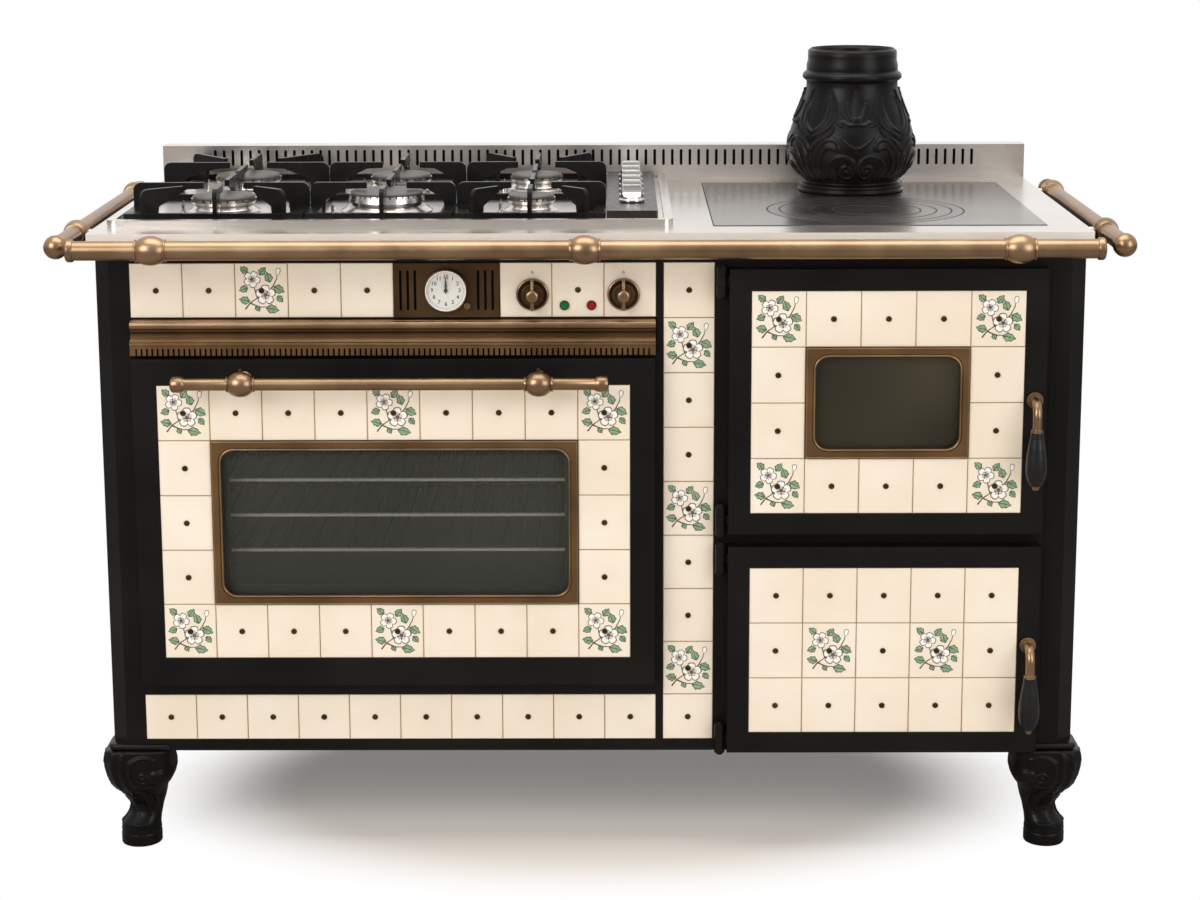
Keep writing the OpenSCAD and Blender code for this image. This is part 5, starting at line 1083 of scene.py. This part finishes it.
# %% Clock numbers and marks
def on_dial(radius, angle):
    return place(CLOCK_X + radius * math.sin(angle), DIAL_Y, CLOCK_Z + radius * math.cos(angle))


def make_number(hour):
    work_on()
    bpy.ops.object.text_add(rotation=TO_FRONT)
    number = bpy.context.object
    number.data.body = str(hour)
    number.data.size = 0.0080
    number.data.offset = 0.00012
    number.data.align_x, number.data.align_y = "CENTER", "CENTER"
    number.data.extrude = 0.00004
    number.data.resolution_u = 2
    number.location = on_dial(19.4, math.radians(hour * 30))
    bpy.ops.object.convert(target="MESH")
    return bpy.context.object


def make_minute_mark(minute):
    mark = add_piece(bpy.ops.mesh.primitive_cube_add, size=1,
                     scale=(0.0003, 0.0001, 0.0013 if minute % 5 else 0.0019))
    angle = math.radians(minute * 6)
    mark.rotation_euler, mark.location = (0, angle, 0), on_dial(25.2, angle)
    return mark


settle(join_all([make_number(hour) for hour in range(1, 13)] + [make_minute_mark(minute) for minute in range(60)]),
       "dial_numbers", "cabinet", ink_black)

# %% [markdown]
# Thin turned rings hold the clock glass and the two lamp lenses.

# %% Bezels
CLOCK_BEZEL = [(0, 31.4), (8.4, 31.4), (9.6, 30.9), (10, 30.2), (9.7, 29.4), (9.1, 28.7), (8.9, 28.4)]
LAMP_BEZEL = [(0.6, 7.0), (1.8, 6.9), (2.6, 6.4), (3.3, 5.9), (3.2, 5.3), (2.6, 5.2)]
bezels = [turned(CLOCK_BEZEL, TO_FRONT, place(CLOCK_X, WALL_FRONT, CLOCK_Z), screw_bronze, 64, solid=False)]
bezels += [turned(LAMP_BEZEL, TO_FRONT, place(x, WALL_FRONT, LAMP_Z), black_and_painted_slot_shade, 28, solid=False) for x in LAMPS_X]
settle(join_all(bezels), "dial_and_lamp_bezels", "cabinet")


# %% [markdown]
# A small printed diamond over each oven knob marks its off position.

# %% Marks over the oven knobs
def make_diamond(x):
    mark = add_piece(bpy.ops.mesh.primitive_circle_add, vertices=4, radius=0.0022, fill_type="NGON",
                     rotation=TO_FRONT, location=place(x, 31.6, 855))
    to_edit(mark)
    bpy.ops.mesh.select_all(action="SELECT")
    bpy.ops.mesh.inset(thickness=0.0007)
    bpy.ops.mesh.delete(type="FACE")
    return dress(mark)


settle(join_all([make_diamond(x) for x in OVEN_KNOBS_X.values()]), "off_marks", "cabinet", ink_black)

# %% [markdown]
# ## Camera, floor and light
# The photograph was taken from the front, a little right of the middle and above the worktop. The
# camera's place was found by fitting the corners of worktop, doors and plate.

# %% Camera
IMAGE_WIDTH, FOCAL_PIXELS, SENSOR_WIDTH = 1200, 2464.6, 36
CAMERA_AT, PITCH, YAW, ROLL = (0.0350, -3.6722, 1.4107), 0.1849, 0.0062, -0.0032


def set_camera():
    right = Vector((math.cos(YAW), math.sin(YAW), 0))
    up = Vector((-math.sin(YAW) * math.sin(PITCH), math.cos(YAW) * math.sin(PITCH), math.cos(PITCH)))
    side = right * math.cos(ROLL) + up * math.sin(ROLL)
    top = up * math.cos(ROLL) - right * math.sin(ROLL)
    turn = Matrix((side, top, side.cross(top))).transposed()
    bpy.ops.object.camera_add()
    camera = bpy.context.object
    camera.name = "photo_camera"
    camera.matrix_world = Matrix.Translation(CAMERA_AT) @ turn.to_4x4()
    camera.data.sensor_width = SENSOR_WIDTH
    camera.data.lens = FOCAL_PIXELS * SENSOR_WIDTH / IMAGE_WIDTH
    camera.data.shift_y = -0.10
    camera.data.clip_end = 60
    bpy.context.scene.camera = camera
    print("camera lens mm", round(camera.data.lens, 2))


work_on()
set_camera()


# %% [markdown]
# The floor is one large pale sheet. The camera, glass and metal see it and the world as a plain
# bright ground, and it still takes the cooker's shadow.

# %% Floor and world
def mix_shaders(tree, share, first, second):
    return add_node(tree, "ShaderNodeMixShader", [(share, 0), (first.outputs[0], 1), (second.outputs[0], 2)])


def make_floor():
    floor = add_piece(bpy.ops.mesh.primitive_plane_add, size=24)
    floor.name = "studio_floor"
    material = bpy.data.materials.new("pale_studio_floor")
    material.use_nodes = True
    tree = material.node_tree
    shader = tree.nodes["Principled BSDF"]
    where = add_node(tree, "ShaderNodeTexCoord").outputs["Object"]
    path = add_node(tree, "ShaderNodeLightPath")
    tone = add_node(tree, "ShaderNodeMix", [(path.outputs["Is Glossy Ray"], "Factor")], data_type="RGBA",
                    in_6=linear("#f0e4d6"), in_7=linear("#a09a95"))
    tree.links.new(tone.outputs[2], shader.inputs["Base Color"])
    shader.inputs["Roughness"].default_value = 0.9
    shader.inputs["Specular IOR Level"].default_value = 0.0
    squashed = add_node(tree, "ShaderNodeMapping", [(where, "Vector")], in_Scale=(0.62, 1.0, 1.0))
    far = add_node(tree, "ShaderNodeVectorMath", [(squashed.outputs["Vector"], 0)], operation="LENGTH")
    fade = add_node(tree, "ShaderNodeMapRange", [(far.outputs["Value"], "Value")], in_From_Min=0.28,
                    in_From_Max=0.46, in_To_Min=0.16, interpolation_type="SMOOTHSTEP")
    seen = add_node(tree, "ShaderNodeMath", [(path.outputs["Is Camera Ray"], 0), (fade.outputs["Result"], 1)],
                    operation="MULTIPLY")
    white = add_node(tree, "ShaderNodeEmission", in_Color=linear("#ffffff"), in_Strength=1.0)
    both = mix_shaders(tree, seen.outputs[0], shader, white)
    tree.links.new(both.outputs[0], tree.nodes["Material Output"].inputs["Surface"])
    floor.data.materials.append(material)
    print("floor", material.name)


def set_world():
    world = bpy.data.worlds.new("studio_world")
    bpy.context.scene.world = world
    world.use_nodes = True
    tree = world.node_tree
    ground = tree.nodes["Background"]
    ground.inputs["Color"].default_value = linear("#f2f2f4")
    ground.inputs["Strength"].default_value = 0.55
    way = add_node(tree, "ShaderNodeTexCoord").outputs["Generated"]
    lean = add_node(tree, "ShaderNodeVectorMath", [(way, 0)], operation="DOT_PRODUCT", in_1=(0, 0.6, 0.75))
    level = add_node(tree, "ShaderNodeMapRange", [(lean.outputs["Value"], "Value")], in_From_Min=-0.25,
                     in_From_Max=0.7, in_To_Min=0.42, in_To_Max=1.05)
    mirrored_sky = add_node(tree, "ShaderNodeBackground", [(level.outputs["Result"], "Strength")],
                            in_Color=linear("#ffffff"))
    bright = add_node(tree, "ShaderNodeBackground", in_Color=linear("#ffffff"), in_Strength=1.0)
    path = add_node(tree, "ShaderNodeLightPath")
    first = mix_shaders(tree, path.outputs["Is Glossy Ray"], ground, mirrored_sky)
    second = mix_shaders(tree, path.outputs["Is Camera Ray"], first, bright)
    tree.links.new(second.outputs[0], tree.nodes["World Output"].inputs["Surface"])
    print("world", world.name)


make_floor()
set_world()


# %% [markdown]
# Two large soft lamps stand to the left and right in front, and one hangs above. Long strips of
# light on the black enamel and the bronze come from their edges.

# %% Lamps
def add_lamp(name, at, aim, size, power):
    bpy.ops.object.light_add(type="AREA", location=at)
    lamp = bpy.context.object
    lamp.name = name
    lamp.data.shape = "RECTANGLE"
    lamp.data.size, lamp.data.size_y = size
    lamp.data.energy = power
    lamp.rotation_euler = (Vector(aim) - Vector(at)).to_track_quat("-Z", "Y").to_euler()
    print(name, power, "W")


add_lamp("key_lamp_left", (-2.6, -3.4, 2.6), (0, 0, 0.6), (2.2, 2.2), 95)
add_lamp("fill_lamp_right", (3.0, -3.0, 1.9), (0, 0, 0.6), (2.0, 2.4), 55)
add_lamp("top_lamp", (0, -0.3, 3.4), (0, 0, 0.9), (3.0, 2.0), 60)
